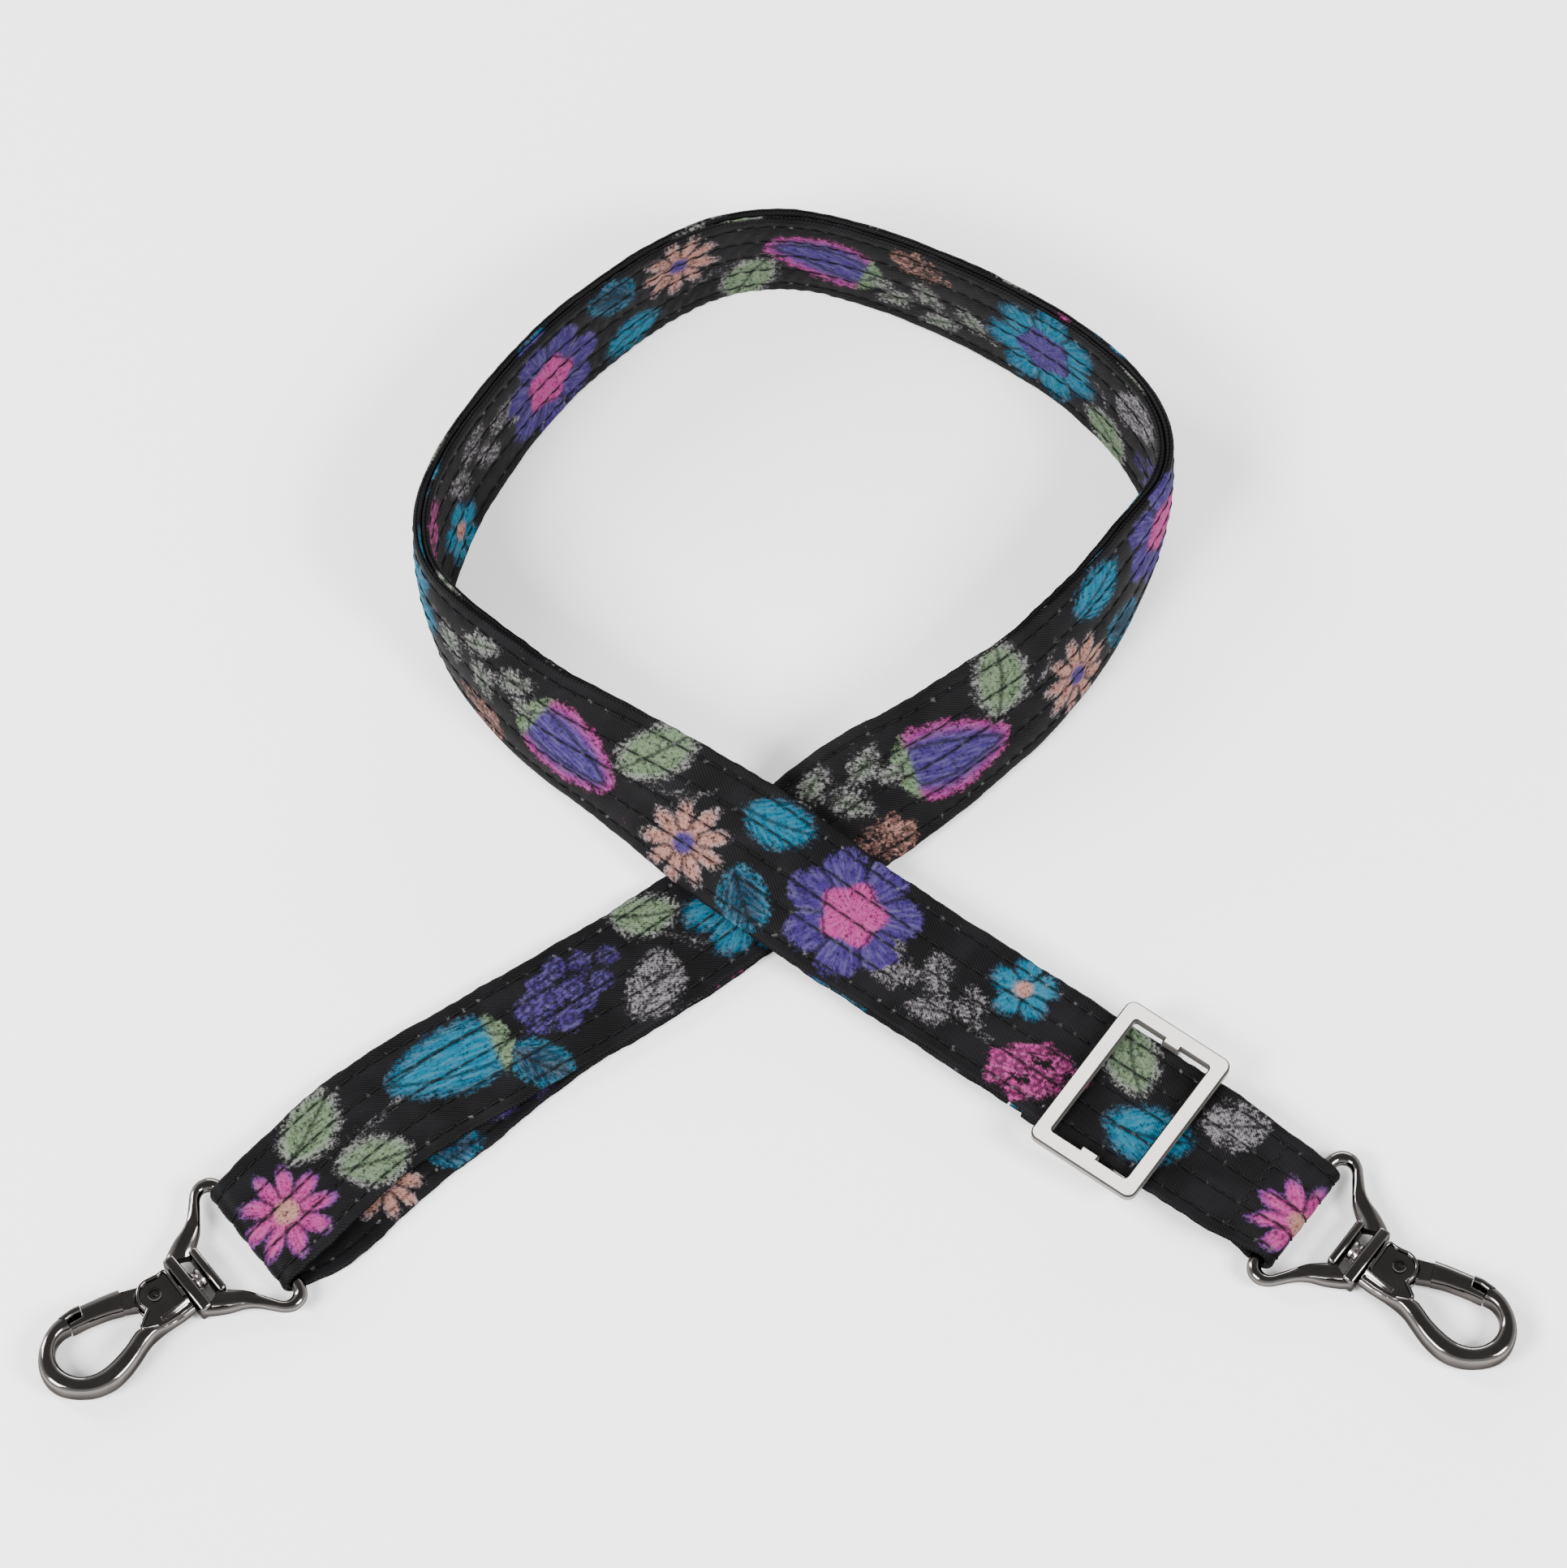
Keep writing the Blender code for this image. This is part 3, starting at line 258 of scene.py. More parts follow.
@dataclass(frozen=True)
class Motif:
    """One flower or leaf of the print, placed in millimetres on the flat cloth."""

    kind: MotifKind
    along: float
    across: float
    size: float
    turn: float
    tint: Tint
    rim: Tint = Tint.PALE
    heart: Tint = Tint.PEACH

    # Radius of a flower's heart and of a rosette's, as shares of its size
    HEART_SHARE = 0.24
    ROSETTE_HEART_SHARE = 0.44
    # Florets in each row of a cluster, and their distance and radius as shares of its size
    FLORETS = (2, 3, 3, 2, 1)
    FLORET_DISTANCE_SHARE = 0.42
    FLORET_SHARE = 0.27
    # Leaflets of a sprig, their lean in degrees, and their fullness and a leaf's
    LEAFLETS = 5
    LEAFLET_LEAN = 38
    LEAFLET_FULLNESS = 0.55
    LEAF_FULLNESS = 0.68

    def lens(self, x: Array, y: Array, length: float, fullness: float) -> Array:
        """Distance inside a leaf shape that lies along X round the origin.

        Args:
            x: Places along the leaf.
            y: Places across it.
            length: Half its length.
            fullness: Half its width as a share of half its length.

        Returns:
            Distance to its edge, more than 0 inside.
        """
        half = fullness * length
        radius = (length**2 + half**2) / (2 * half)
        return radius - np.hypot(x, np.abs(y) + radius - half)

    def flower(self, x: Array, y: Array) -> tuple[Array, ...]:
        """A flower seen from above, read as in read()."""
        petals, depth, fall = self.kind.value
        radius = np.hypot(x, y)
        angle = np.arctan2(y, x)
        wave = np.cos(angle * petals / 2)
        edge = self.size * (1 - depth + depth * np.abs(wave) ** fall) - radius
        ragged = self.ROSETTE_HEART_SHARE + 0.05 * np.cos(5 * angle)
        inner = ragged if self.kind is MotifKind.ROSETTE else self.HEART_SHARE
        heart = ease((inner * self.size - radius) / 1.1 + 0.5)
        return edge, radius * wave * (2 / petals), heart, radius, np.abs(angle) * 0.6 * self.size

    def cluster(self, x: Array, y: Array) -> tuple[Array, ...]:
        """Rows of round florets that taper to a tip, read as in read()."""
        size = self.size
        edge = np.full_like(x, -size)
        vein = np.ones_like(x)
        for row, count in enumerate(self.FLORETS):
            for place in range(count):
                px = size * (self.FLORET_DISTANCE_SHARE * row - 0.85)
                aside = place - (count - 1) / 2 + 0.14 * (-1) ** (row + place)
                py = size * self.FLORET_DISTANCE_SHARE * aside
                away = np.hypot(x - px, y - py)
                floret = size * (self.FLORET_SHARE - 0.018 * row) - away
                vein = np.where(floret > edge, away - 0.1 * size, vein)
                edge = np.maximum(edge, floret)
        return edge, vein, np.zeros_like(x), x, y

    def sprig(self, x: Array, y: Array) -> tuple[Array, ...]:
        """A stem with five leaflets, read as in read()."""
        size = self.size
        edge = np.where(np.abs(x) < size, 0.45 - np.abs(y - 0.08 * x), -size)
        vein = np.ones_like(x)
        for number in range(self.LEAFLETS):
            side = 1 if number % 2 else -1
            foot = -0.75 * size + number * 0.36 * size
            lean = math.radians(side * self.LEAFLET_LEAN if number < self.LEAFLETS - 1 else 4)
            reach = 0.37 * size
            lx = x - foot - reach * math.cos(lean)
            ly = y - reach * math.sin(lean)
            leaf_x = lx * math.cos(lean) + ly * math.sin(lean)
            leaf_y = ly * math.cos(lean) - lx * math.sin(lean)
            leaf = self.lens(leaf_x, leaf_y, reach, self.LEAFLET_FULLNESS)
            vein = np.where(leaf > edge, leaf_y, vein)
            edge = np.maximum(edge, leaf)
        return edge, vein, np.zeros_like(x), x - np.abs(y), x + np.abs(y)

    def read(self, along: Array, across: Array) -> tuple[Array, ...]:
        """The motif at places on the cloth.

        Args:
            along: Millimetres along the cloth.
            across: Millimetres across it.

        Returns:
            Distance inside the edge, signed distance from the nearest vein, the heart's share, and
            places along and across the chalk's strokes.
        """
        turn = math.radians(self.turn)
        dx = along - self.along
        dy = across - self.across
        x = dx * math.cos(turn) + dy * math.sin(turn)
        y = dy * math.cos(turn) - dx * math.sin(turn)
        size = self.size
        plain = np.zeros_like(x)
        if self.kind in (MotifKind.BLOSSOM, MotifKind.DAISY, MotifKind.ROSETTE):
            return self.flower(x, y)
        if self.kind is MotifKind.CLUSTER:
            return self.cluster(x, y)
        if self.kind is MotifKind.SPRIG:
            return self.sprig(x, y)
        if self.kind is MotifKind.STEM:
            bent = y - 0.22 * x * x / size
            return np.where(np.abs(x) < size, 0.42 - np.abs(bent), -size), plain + 1, plain, x, y
        if self.kind is MotifKind.LEAF:
            curved = y - 0.12 * x * x / size
            slant = 0.7 * np.abs(curved)
            inside = self.lens(x, curved, size, self.LEAF_FULLNESS)
            return inside, curved, plain, x + slant, np.abs(curved) * 0.9 - 0.55 * x
        half = 0.6 * size * np.sqrt(np.clip(1 - (x / size) ** 2, 0, 1)) * (1 - 0.28 * x / size)
        edge = np.where(np.abs(x) < size, np.minimum(half - np.abs(y), size - np.abs(x)), -1.0)
        return edge, np.abs(y) - 0.42 * half + 0.1 * x, ease((-x - 0.62 * size) / 1.6), x, y


@dataclass(frozen=True)
class FloralPrint:
    """A generic floral print that repeats along the cloth, in millimetres."""

    repeat: float = 316.0
    stroke_length: float = 3.4
    stroke_width: float = 0.62
    motifs: tuple[Motif, ...] = (
        Motif(MotifKind.DAISY, 13, -2, 10.1, 12, Tint.MAGENTA, Tint.VIOLET, Tint.PEACH),
        Motif(MotifKind.LEAF, 28, 7, 8.5, 22, Tint.SAGE),
        Motif(MotifKind.LEAF, 32, -7, 8.7, -24, Tint.SAGE),
        Motif(MotifKind.STEM, 40, 0, 9.0, 8, Tint.PALE),
        Motif(MotifKind.TULIP, 55, 2, 12.9, 172, Tint.CYAN, Tint.TEAL, Tint.SAGE),
        Motif(MotifKind.LEAF, 69, -8, 7.2, -58, Tint.TEAL, Tint.CYAN),
        Motif(MotifKind.CLUSTER, 82, 3, 10.8, 8, Tint.VIOLET, Tint.VIOLET),
        Motif(MotifKind.LEAF, 95, -6, 8.1, 38, Tint.PALE),
        Motif(MotifKind.LEAF, 101, 8, 7.6, -30, Tint.SAGE),
        Motif(MotifKind.STEM, 104, 0, 7.8, -60, Tint.PALE),
        Motif(MotifKind.ROSETTE, 119, -1, 13.4, 10, Tint.CYAN, Tint.TEAL, Tint.VIOLET),
        Motif(MotifKind.SPRIG, 142, 4, 13.4, -12, Tint.SAGE),
        Motif(MotifKind.CLUSTER, 146, -8, 6.0, 160, Tint.PEACH, Tint.PEACH),
        Motif(MotifKind.TULIP, 166, -1, 12.1, -14, Tint.VIOLET, Tint.MAGENTA, Tint.SAGE),
        Motif(MotifKind.LEAF, 181, 7, 8.5, 62, Tint.SAGE),
        Motif(MotifKind.STEM, 188, 2, 7.8, 20, Tint.PALE),
        Motif(MotifKind.DAISY, 195, -5, 9.0, 0, Tint.PEACH, Tint.PALE, Tint.VIOLET),
        Motif(MotifKind.LEAF, 207, 7, 7.6, 12, Tint.CYAN, Tint.TEAL),
        Motif(MotifKind.LEAF, 210, -8, 6.9, -36, Tint.TEAL, Tint.CYAN),
        Motif(MotifKind.ROSETTE, 228, 1, 13.2, 30, Tint.VIOLET, Tint.VIOLET, Tint.MAGENTA),
        Motif(MotifKind.SPRIG, 250, -3, 13.4, 166, Tint.PALE),
        Motif(MotifKind.BLOSSOM, 262, 7, 6.9, 40, Tint.CYAN, Tint.TEAL, Tint.PEACH),
        Motif(MotifKind.CLUSTER, 274, -5, 9.0, 24, Tint.MAGENTA, Tint.MAGENTA),
        Motif(MotifKind.LEAF, 286, 7, 8.1, -48, Tint.SAGE),
        Motif(MotifKind.LEAF, 297, -4, 9.2, 20, Tint.CYAN, Tint.TEAL),
        Motif(MotifKind.LEAF, 309, 7, 6.9, 35, Tint.PALE),
    )

    def paint(self, along: Array, across: Array) -> dict[str, Array]:
        """The print at places on the cloth.

        Args:
            along: Millimetres along the cloth.
            across: Millimetres across it.

        Returns:
            Distance inside the nearest motif, distance from its veins, its colour and density, and
            the place in the chalk's strokes.
        """
        along = np.mod(along, self.repeat)
        edge = np.full_like(along, -6.0)
        vein = np.ones_like(along)
        fill = np.zeros_like(along)
        stroke = np.zeros((len(along), 3))
        tint = np.zeros((len(along), 4))
        tint[:, 3] = 1.0
        for number, motif in enumerate(self.motifs):
            for shift in (-self.repeat, 0.0, self.repeat):
                near = np.abs(along - shift - motif.along) < 1.5 * motif.size
                if not near.any():
                    continue
                inside, line, heart, length, width = motif.read(along[near] - shift, across[near])
                wins = inside > edge[near]
                chosen = np.flatnonzero(near)[wins]
                heart = heart[wins][:, None]
                edge[chosen] = inside[wins]
                vein[chosen] = line[wins] + 2 * heart[:, 0]
                stroke[chosen, 0] = length[wins] / self.stroke_length
                stroke[chosen, 1] = width[wins] / self.stroke_width
                stroke[chosen, 2] = number * 7.3
                outer = 0.85 * ease(1 - inside[wins] / (0.3 * motif.size))[:, None]
                main, rim, core = (np.array(each.value) for each in (motif.tint, motif.rim, motif.heart))
                blend = main + outer * (rim - main)
                blend += heart * (core - blend)
                tint[chosen, :3] = blend[:, :3]
                fill[chosen] = blend[:, 3] - 0.05 * outer[:, 0]
        return {
            "print_edge": edge, "print_vein": vein, "print_fill": fill, "print_tint": tint,
            "print_stroke": stroke,
        }


@dataclass(frozen=True)
class QuiltedTwill:
    """Charcoal satin twill with a chalky floral print, sewn through in lengthwise rows, with painted shade in
    its stitch grooves and along its edges.
    """

    row_spacing: float = 5.1
    pitch: float = 3.3
    edge_row: float = 8.0
    weave_pitch: float = 0.46
    base: tuple[float, float, float] = printed(20, 20, 21)
    worn: tuple[float, float, float] = printed(54, 52, 55)

    def material(self) -> bpy.types.Material:
        """The cloth's material, which reads its own place and the print from the mesh."""
        shader = Shader("quilted_twill")
        place = shader.attribute("cloth_place", "Vector")
        along = shader.part(place, 0) * 1000
        across = shader.part(place, 1) * 1000
        level = shader.part(place, 2) * 1000
        blotch = shader.noise(place, 620.0, 3.0, 0.62)
        grain = shader.noise(place, 2600.0, 2.0, 0.6)
        broad = shader.noise(place, 95.0, 2.0)
        crumb = shader.noise(place, 1500.0, 3.0, 0.7)
        weave = ((along * 0.60 + across * 0.80) * (2 * math.pi / self.weave_pitch)).math("SINE")

        edge = shader.attribute("print_edge")
        fill = shader.attribute("print_fill")
        vein = abs(shader.attribute("print_vein"))
        tint = shader.attribute("print_tint", "Color")
        hatch = shader.noise(shader.attribute("print_stroke", "Vector"), 1.0, 3.0, 0.6)
        cover = (edge + (blotch - 0.5) * 3.0 + (crumb - 0.5) * 3.4 + (hatch - 0.5) * 1.2).smooth(-0.4, 1.3)
        chalk = (crumb * 1.1 + hatch * 0.45 + blotch * 0.5 + fill + weave * 0.03).smooth(1.3, 1.7)
        paint = cover * chalk * (0.3 + 0.7 * (vein + (crumb - 0.5) * 0.9).smooth(0.05, 0.7))

        row = abs((across / self.row_spacing + 0.5).math("FRACT") - 0.5) * self.row_spacing
        stitch = abs((along / self.pitch).math("FRACT") - 0.5)
        hole_away = (0.5 - stitch) * self.pitch
        dip = 1 - row.smooth(0.05, 0.65)
        hole_reach = (row * row + hole_away * hole_away).math("SQRT")
        hole = 1 - hole_reach.smooth(0.12, 0.4)
        at_edge = 0.35 + 0.65 * abs(across).smooth(self.edge_row, self.edge_row + 0.4)
        tuft = 1 - (hole_reach + (crumb - 0.5) * 2.4).smooth(0.08, 0.5)
        fleck = tuft * at_edge * shader.noise(place, 330.0, 1.0).smooth(0.48, 0.62)
        fold = 1 - abs(level).smooth(0.03, 0.18)

        wear = broad.smooth(0.3, 0.75) * 0.35 + weave * 0.26 + 0.2
        ground = shader.mix(wear, (*self.base, 1), (*self.worn, 1))
        chalky = shader.mix((hatch - 0.42) * 0.5, tint, (*printed(232, 232, 236), 1))
        colour = shader.mix(paint, ground, chalky)
        # Painted shade: the stitch grooves and the crease along the middle of each edge are darkened towards
        # near black
        colour = shader.mix(dip * 0.45 + fold * 0.6, colour, (*printed(12, 12, 13), 1))
        colour = shader.mix(fleck * 0.5, colour, (*printed(176, 176, 178), 1))
        nap = weave * 0.02 + grain * 0.03 + paint * 0.02 + blotch * 0.03
        height = nap - dip * 0.08 - hole * 0.2 - fold * 0.2
        return shader.dress(
            Base_Color=colour,
            Roughness=0.46 + paint * 0.2 + grain * 0.1,
            Specular_IOR_Level=0.03,
            Normal=shader.bump(height, 0.001),
        )


@dataclass(frozen=True)
class SewingThread:
    """Black spun thread with a visible twist."""

    colour: tuple[float, float, float] = printed(16, 16, 17)
    twist: float = 0.42

    def material(self) -> bpy.types.Material:
        """The thread's material, which reads its place along and round the thread."""
        shader = Shader("sewing_thread")
        place = shader.attribute("thread_place", "Vector")
        turns = shader.part(place, 0) * (1000 / self.twist) + shader.part(place, 1)
        ply = (turns * (2 * math.pi)).math("SINE")
        fuzz = shader.noise(shader.object_place(), 3800.0)
        colour = shader.mix(fuzz * 0.4 + ply * 0.15 + 0.1, (*self.colour, 1), (*printed(52, 51, 54), 1))
        return shader.dress(
            Base_Color=colour,
            Roughness=0.62 + fuzz * 0.2,
            Specular_IOR_Level=0.12,
            Normal=shader.bump(ply * 0.03 + fuzz * 0.03, 0.001),
        )


@dataclass(frozen=True)
class PlatedMetal:
    """Plated die-cast metal, with fine scuffs, a faint unevenness and painted shade on the edges that the
    mesh's chamfer attribute marks.
    """

    name: str
    colour: tuple[float, float, float]
    cloud_colour: tuple[float, float, float]
    edge_shade_colour: tuple[float, float, float]
    metallic: float
    roughness: float
    scuff: float
    rim: float = 1.0

    def material(self) -> bpy.types.Material:
        """The metal's material, on object coordinates and the mesh's chamfer attribute, which marks where
        shade is painted.
        """
        shader = Shader(self.name)
        place = shader.object_place()
        cloud = shader.noise(place, 260.0, 3.0)
        stretched = shader.node("ShaderNodeMapping", {}, {0: place, "Scale": (1.0, 6.0, 1.0)})
        scratch = shader.noise(stretched, 1800.0, 2.0, 0.7)
        colour = shader.mix(cloud.smooth(0.3, 0.75), (*self.colour, 1), (*self.cloud_colour, 1))
        # Painted shade and painted dark reflection: marked faces take the dark edge colour and move towards
        # fully metallic
        chamfer = shader.attribute("chamfer")
        colour = shader.mix(chamfer, colour, (*self.edge_shade_colour, 1))
        return shader.dress(
            Base_Color=colour,
            Metallic=chamfer * (1 - self.metallic) + self.metallic,
            Specular_Tint=(self.rim, self.rim, self.rim, 1.0),
            Roughness=self.roughness + cloud * self.scuff + scratch.smooth(0.62, 0.8) * self.scuff,
            Normal=shader.bump(cloud * 0.012 + scratch * 0.003, 0.001, 0.5),
        )


# Near black, painted as shade and dark reflection on marked edges
PAINTED_EDGE_SHADE = (0.035, 0.033, 0.032)
GUNMETAL = PlatedMetal(
    name="gunmetal_plating",
    colour=(0.11, 0.103, 0.099),
    cloud_colour=(0.138, 0.128, 0.123),
    edge_shade_colour=PAINTED_EDGE_SHADE,
    metallic=1.0,
    roughness=0.07,
    scuff=0.06,
    rim=0.3,
)
LIGHT_NICKEL = PlatedMetal(
    name="light_nickel_plating",
    colour=(0.80, 0.77, 0.72),
    cloud_colour=(0.83, 0.80, 0.75),
    # The edge colour is painted shade and dark reflection on the slider's chamfers and walls
    edge_shade_colour=(0.04, 0.037, 0.035),
    metallic=0.35,
    roughness=0.3,
    scuff=0.1,
    rim=0.3,
)
SPRING_STEEL = PlatedMetal(
    name="spring_steel_wire",
    colour=(0.2, 0.2, 0.21),
    cloud_colour=(0.24, 0.24, 0.25),
    edge_shade_colour=PAINTED_EDGE_SHADE,
    metallic=1.0,
    roughness=0.3,
    scuff=0.1,
)
TURNED_STEEL = PlatedMetal(
    name="turned_rivet",
    colour=(0.4, 0.37, 0.36),
    cloud_colour=(0.45, 0.42, 0.41),
    edge_shade_colour=PAINTED_EDGE_SHADE,
    metallic=1.0,
    roughness=0.16,
    scuff=0.1,
)


def grid_piece(name: str, columns: int, rows: int, place: Callable[[Array, Array], Array]) -> bpy.types.Mesh:
    """A grid bent into a tube whose first and last column meet.

    Args:
        name: The mesh's name.
        columns: Steps round the tube.
        rows: Steps along the tube.
        place: Gives the points for column and row numbers.

    Returns:
        The mesh, before its seam is closed.
    """
    bm = bmesh.new()
    bmesh.ops.create_grid(bm, x_segments=columns, y_segments=rows, size=0.5)
    mesh = bpy.data.meshes.new(name)
    bm.to_mesh(mesh)
    bm.free()
    flat = np.zeros(len(mesh.vertices) * 3)
    mesh.vertices.foreach_get("co", flat)
    flat = flat.reshape(-1, 3)
    low, high = flat.min(axis=0), flat.max(axis=0)
    column = np.rint((flat[:, 0] - low[0]) / (high[0] - low[0]) * columns).astype(int)
    row = np.rint((flat[:, 1] - low[1]) / (high[1] - low[1]) * rows).astype(int)
    mesh.vertices.foreach_set("co", place(column, row).ravel())
    return mesh


def set_attribute(mesh: bpy.types.Mesh, name: str, values: Array) -> None:
    """Give every vertex a number, a vector or a colour."""
    width = 1 if values.ndim == 1 else values.shape[1]
    kind, key = {1: ("FLOAT", "value"), 3: ("FLOAT_VECTOR", "vector"), 4: ("FLOAT_COLOR", "color")}[width]
    layer = mesh.attributes.new(name, kind, "POINT")
    layer.data.foreach_set(key, values.astype(np.float32).ravel())


def take_mesh(bm: bmesh.types.BMesh, mesh: bpy.types.Mesh) -> None:
    """Move a mesh's shape into a bmesh."""
    bm.from_mesh(mesh)
    bpy.data.meshes.remove(mesh)


def merge(bm: bmesh.types.BMesh) -> None:
    """Merge the doubles of a bmesh."""
    bmesh.ops.remove_doubles(bm, verts=bm.verts[:], dist=1e-7)


def close_seam(bm: bmesh.types.BMesh) -> None:
    """Merge a bent grid's seam, fill its ends and turn its faces outwards."""
    merge(bm)
    open_edges = [edge for edge in bm.edges if edge.is_boundary]
    bmesh.ops.holes_fill(bm, edges=open_edges, sides=0)
    bmesh.ops.recalc_face_normals(bm, faces=bm.faces[:])


def finish_piece(
    name: str,
    bm: bmesh.types.BMesh,
    surface: bpy.types.Material,
    replaced: Sequence[str] = (),
    sharp: float = 40.0,
) -> bpy.types.Object:
    """Turn a bmesh into a dressed piece of the scene.

    Args:
        name: The piece's name.
        bm: Its shape, in the frame's coordinates.
        surface: Its material.
        replaced: The CAD nodes that it stands for.
        sharp: Edges sharper than this, in degrees, stay sharp.

    Returns:
        The new object.
    """
    mesh = bpy.data.meshes.new(name)
    bm.to_mesh(mesh)
    bm.free()
    mesh.shade_smooth()
    mesh.set_sharp_from_angle(angle=math.radians(sharp))
    mesh.materials.append(surface)
    made = bpy.data.objects.new(name, mesh)
    bpy.context.scene.collection.objects.link(made)
    if replaced:
        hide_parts(*replaced)
    LOG.info("%s: %d faces", name, len(mesh.polygons))
    return made


class Curve:
    """A natural cubic curve through rows of values, read at a distance along it."""

    def __init__(self, distances: Array, rows: Array) -> None:
        """Fit the curve to its rows."""
        self.at = distances
        self.rows = rows
        count = len(distances)
        self.spans = np.diff(distances)
        system = np.eye(count)
        target = np.zeros_like(rows)
        self.slopes = np.diff(rows, axis=0) / self.spans[:, None]
        for i in range(1, count - 1):
            before = self.spans[i - 1]
            after = self.spans[i]
            system[i, i - 1 : i + 2] = before, 2 * (before + after), after
            target[i] = 6 * (self.slopes[i] - self.slopes[i - 1])
        self.bends = np.linalg.solve(system, target)

    def value(self, distance: float) -> tuple[Array, Array]:
        """The row of values at a distance, and how fast each changes."""
        i = int(np.clip(np.searchsorted(self.at, distance, side="right") - 1, 0, len(self.spans) - 1))
        span = self.spans[i]
        ahead = distance - self.at[i]
        bend = self.bends[i]
        change = self.bends[i + 1] - bend
        slope = self.slopes[i] - span * (2 * bend + self.bends[i + 1]) / 6
        value = self.rows[i] + slope * ahead + bend / 2 * ahead**2 + change / (6 * span) * ahead**3
        rate = slope + bend * ahead + change / (2 * span) * ahead**2
        return value, rate


@dataclass(frozen=True)
class Webbing:
    """Sizes of the webbing and of the way it lies, the same as its solids have."""

    width: float = 0.0254
    thickness: float = 0.0014
    layer_gap: float = 0.0003
    loop_length: float = 0.143
    crossing_clearance: float = 0.0005
    left_ease: float = 0.028
    right_ease: float = 0.012
    tab_length: float = 0.014
    tab_rise: float = 0.007
    tab_seam: float = 0.0084
    slip_at_bar: float = 0.0009
    bar_radius: float = 0.0013
    bar_height: float = 0.003
    left_skew: float = 9.5
    right_skew: float = 2.7
    skew_run_share: float = 0.6
    slider_from_ring: float = 0.0356
    middle_bar: float = 0.003
    middle_bar_thickness: float = 0.0016
    end_loop: float = 0.0198
    end_loop_rise: float = 0.006
    end_tail: float = 0.017325
    end_seam: float = 0.00168
    feed: float = 0.0398

    @property
    def stack(self) -> float:
        """Height of the two layers, lying flat."""
        return 2 * self.thickness + self.layer_gap

    @property
    def lift(self) -> float:
        """How far the upper strand is raised at the crossing."""
        return self.stack + self.crossing_clearance

    @property
    def offset(self) -> float:
        """From the middle of the two layers to the middle of one."""
        return (self.layer_gap + self.thickness) / 2

    @property
    def fold_radius(self) -> float:
        """Radius of the webbing's middle where it goes round a ring's bar."""
        return self.bar_radius + self.layer_gap + self.thickness / 2


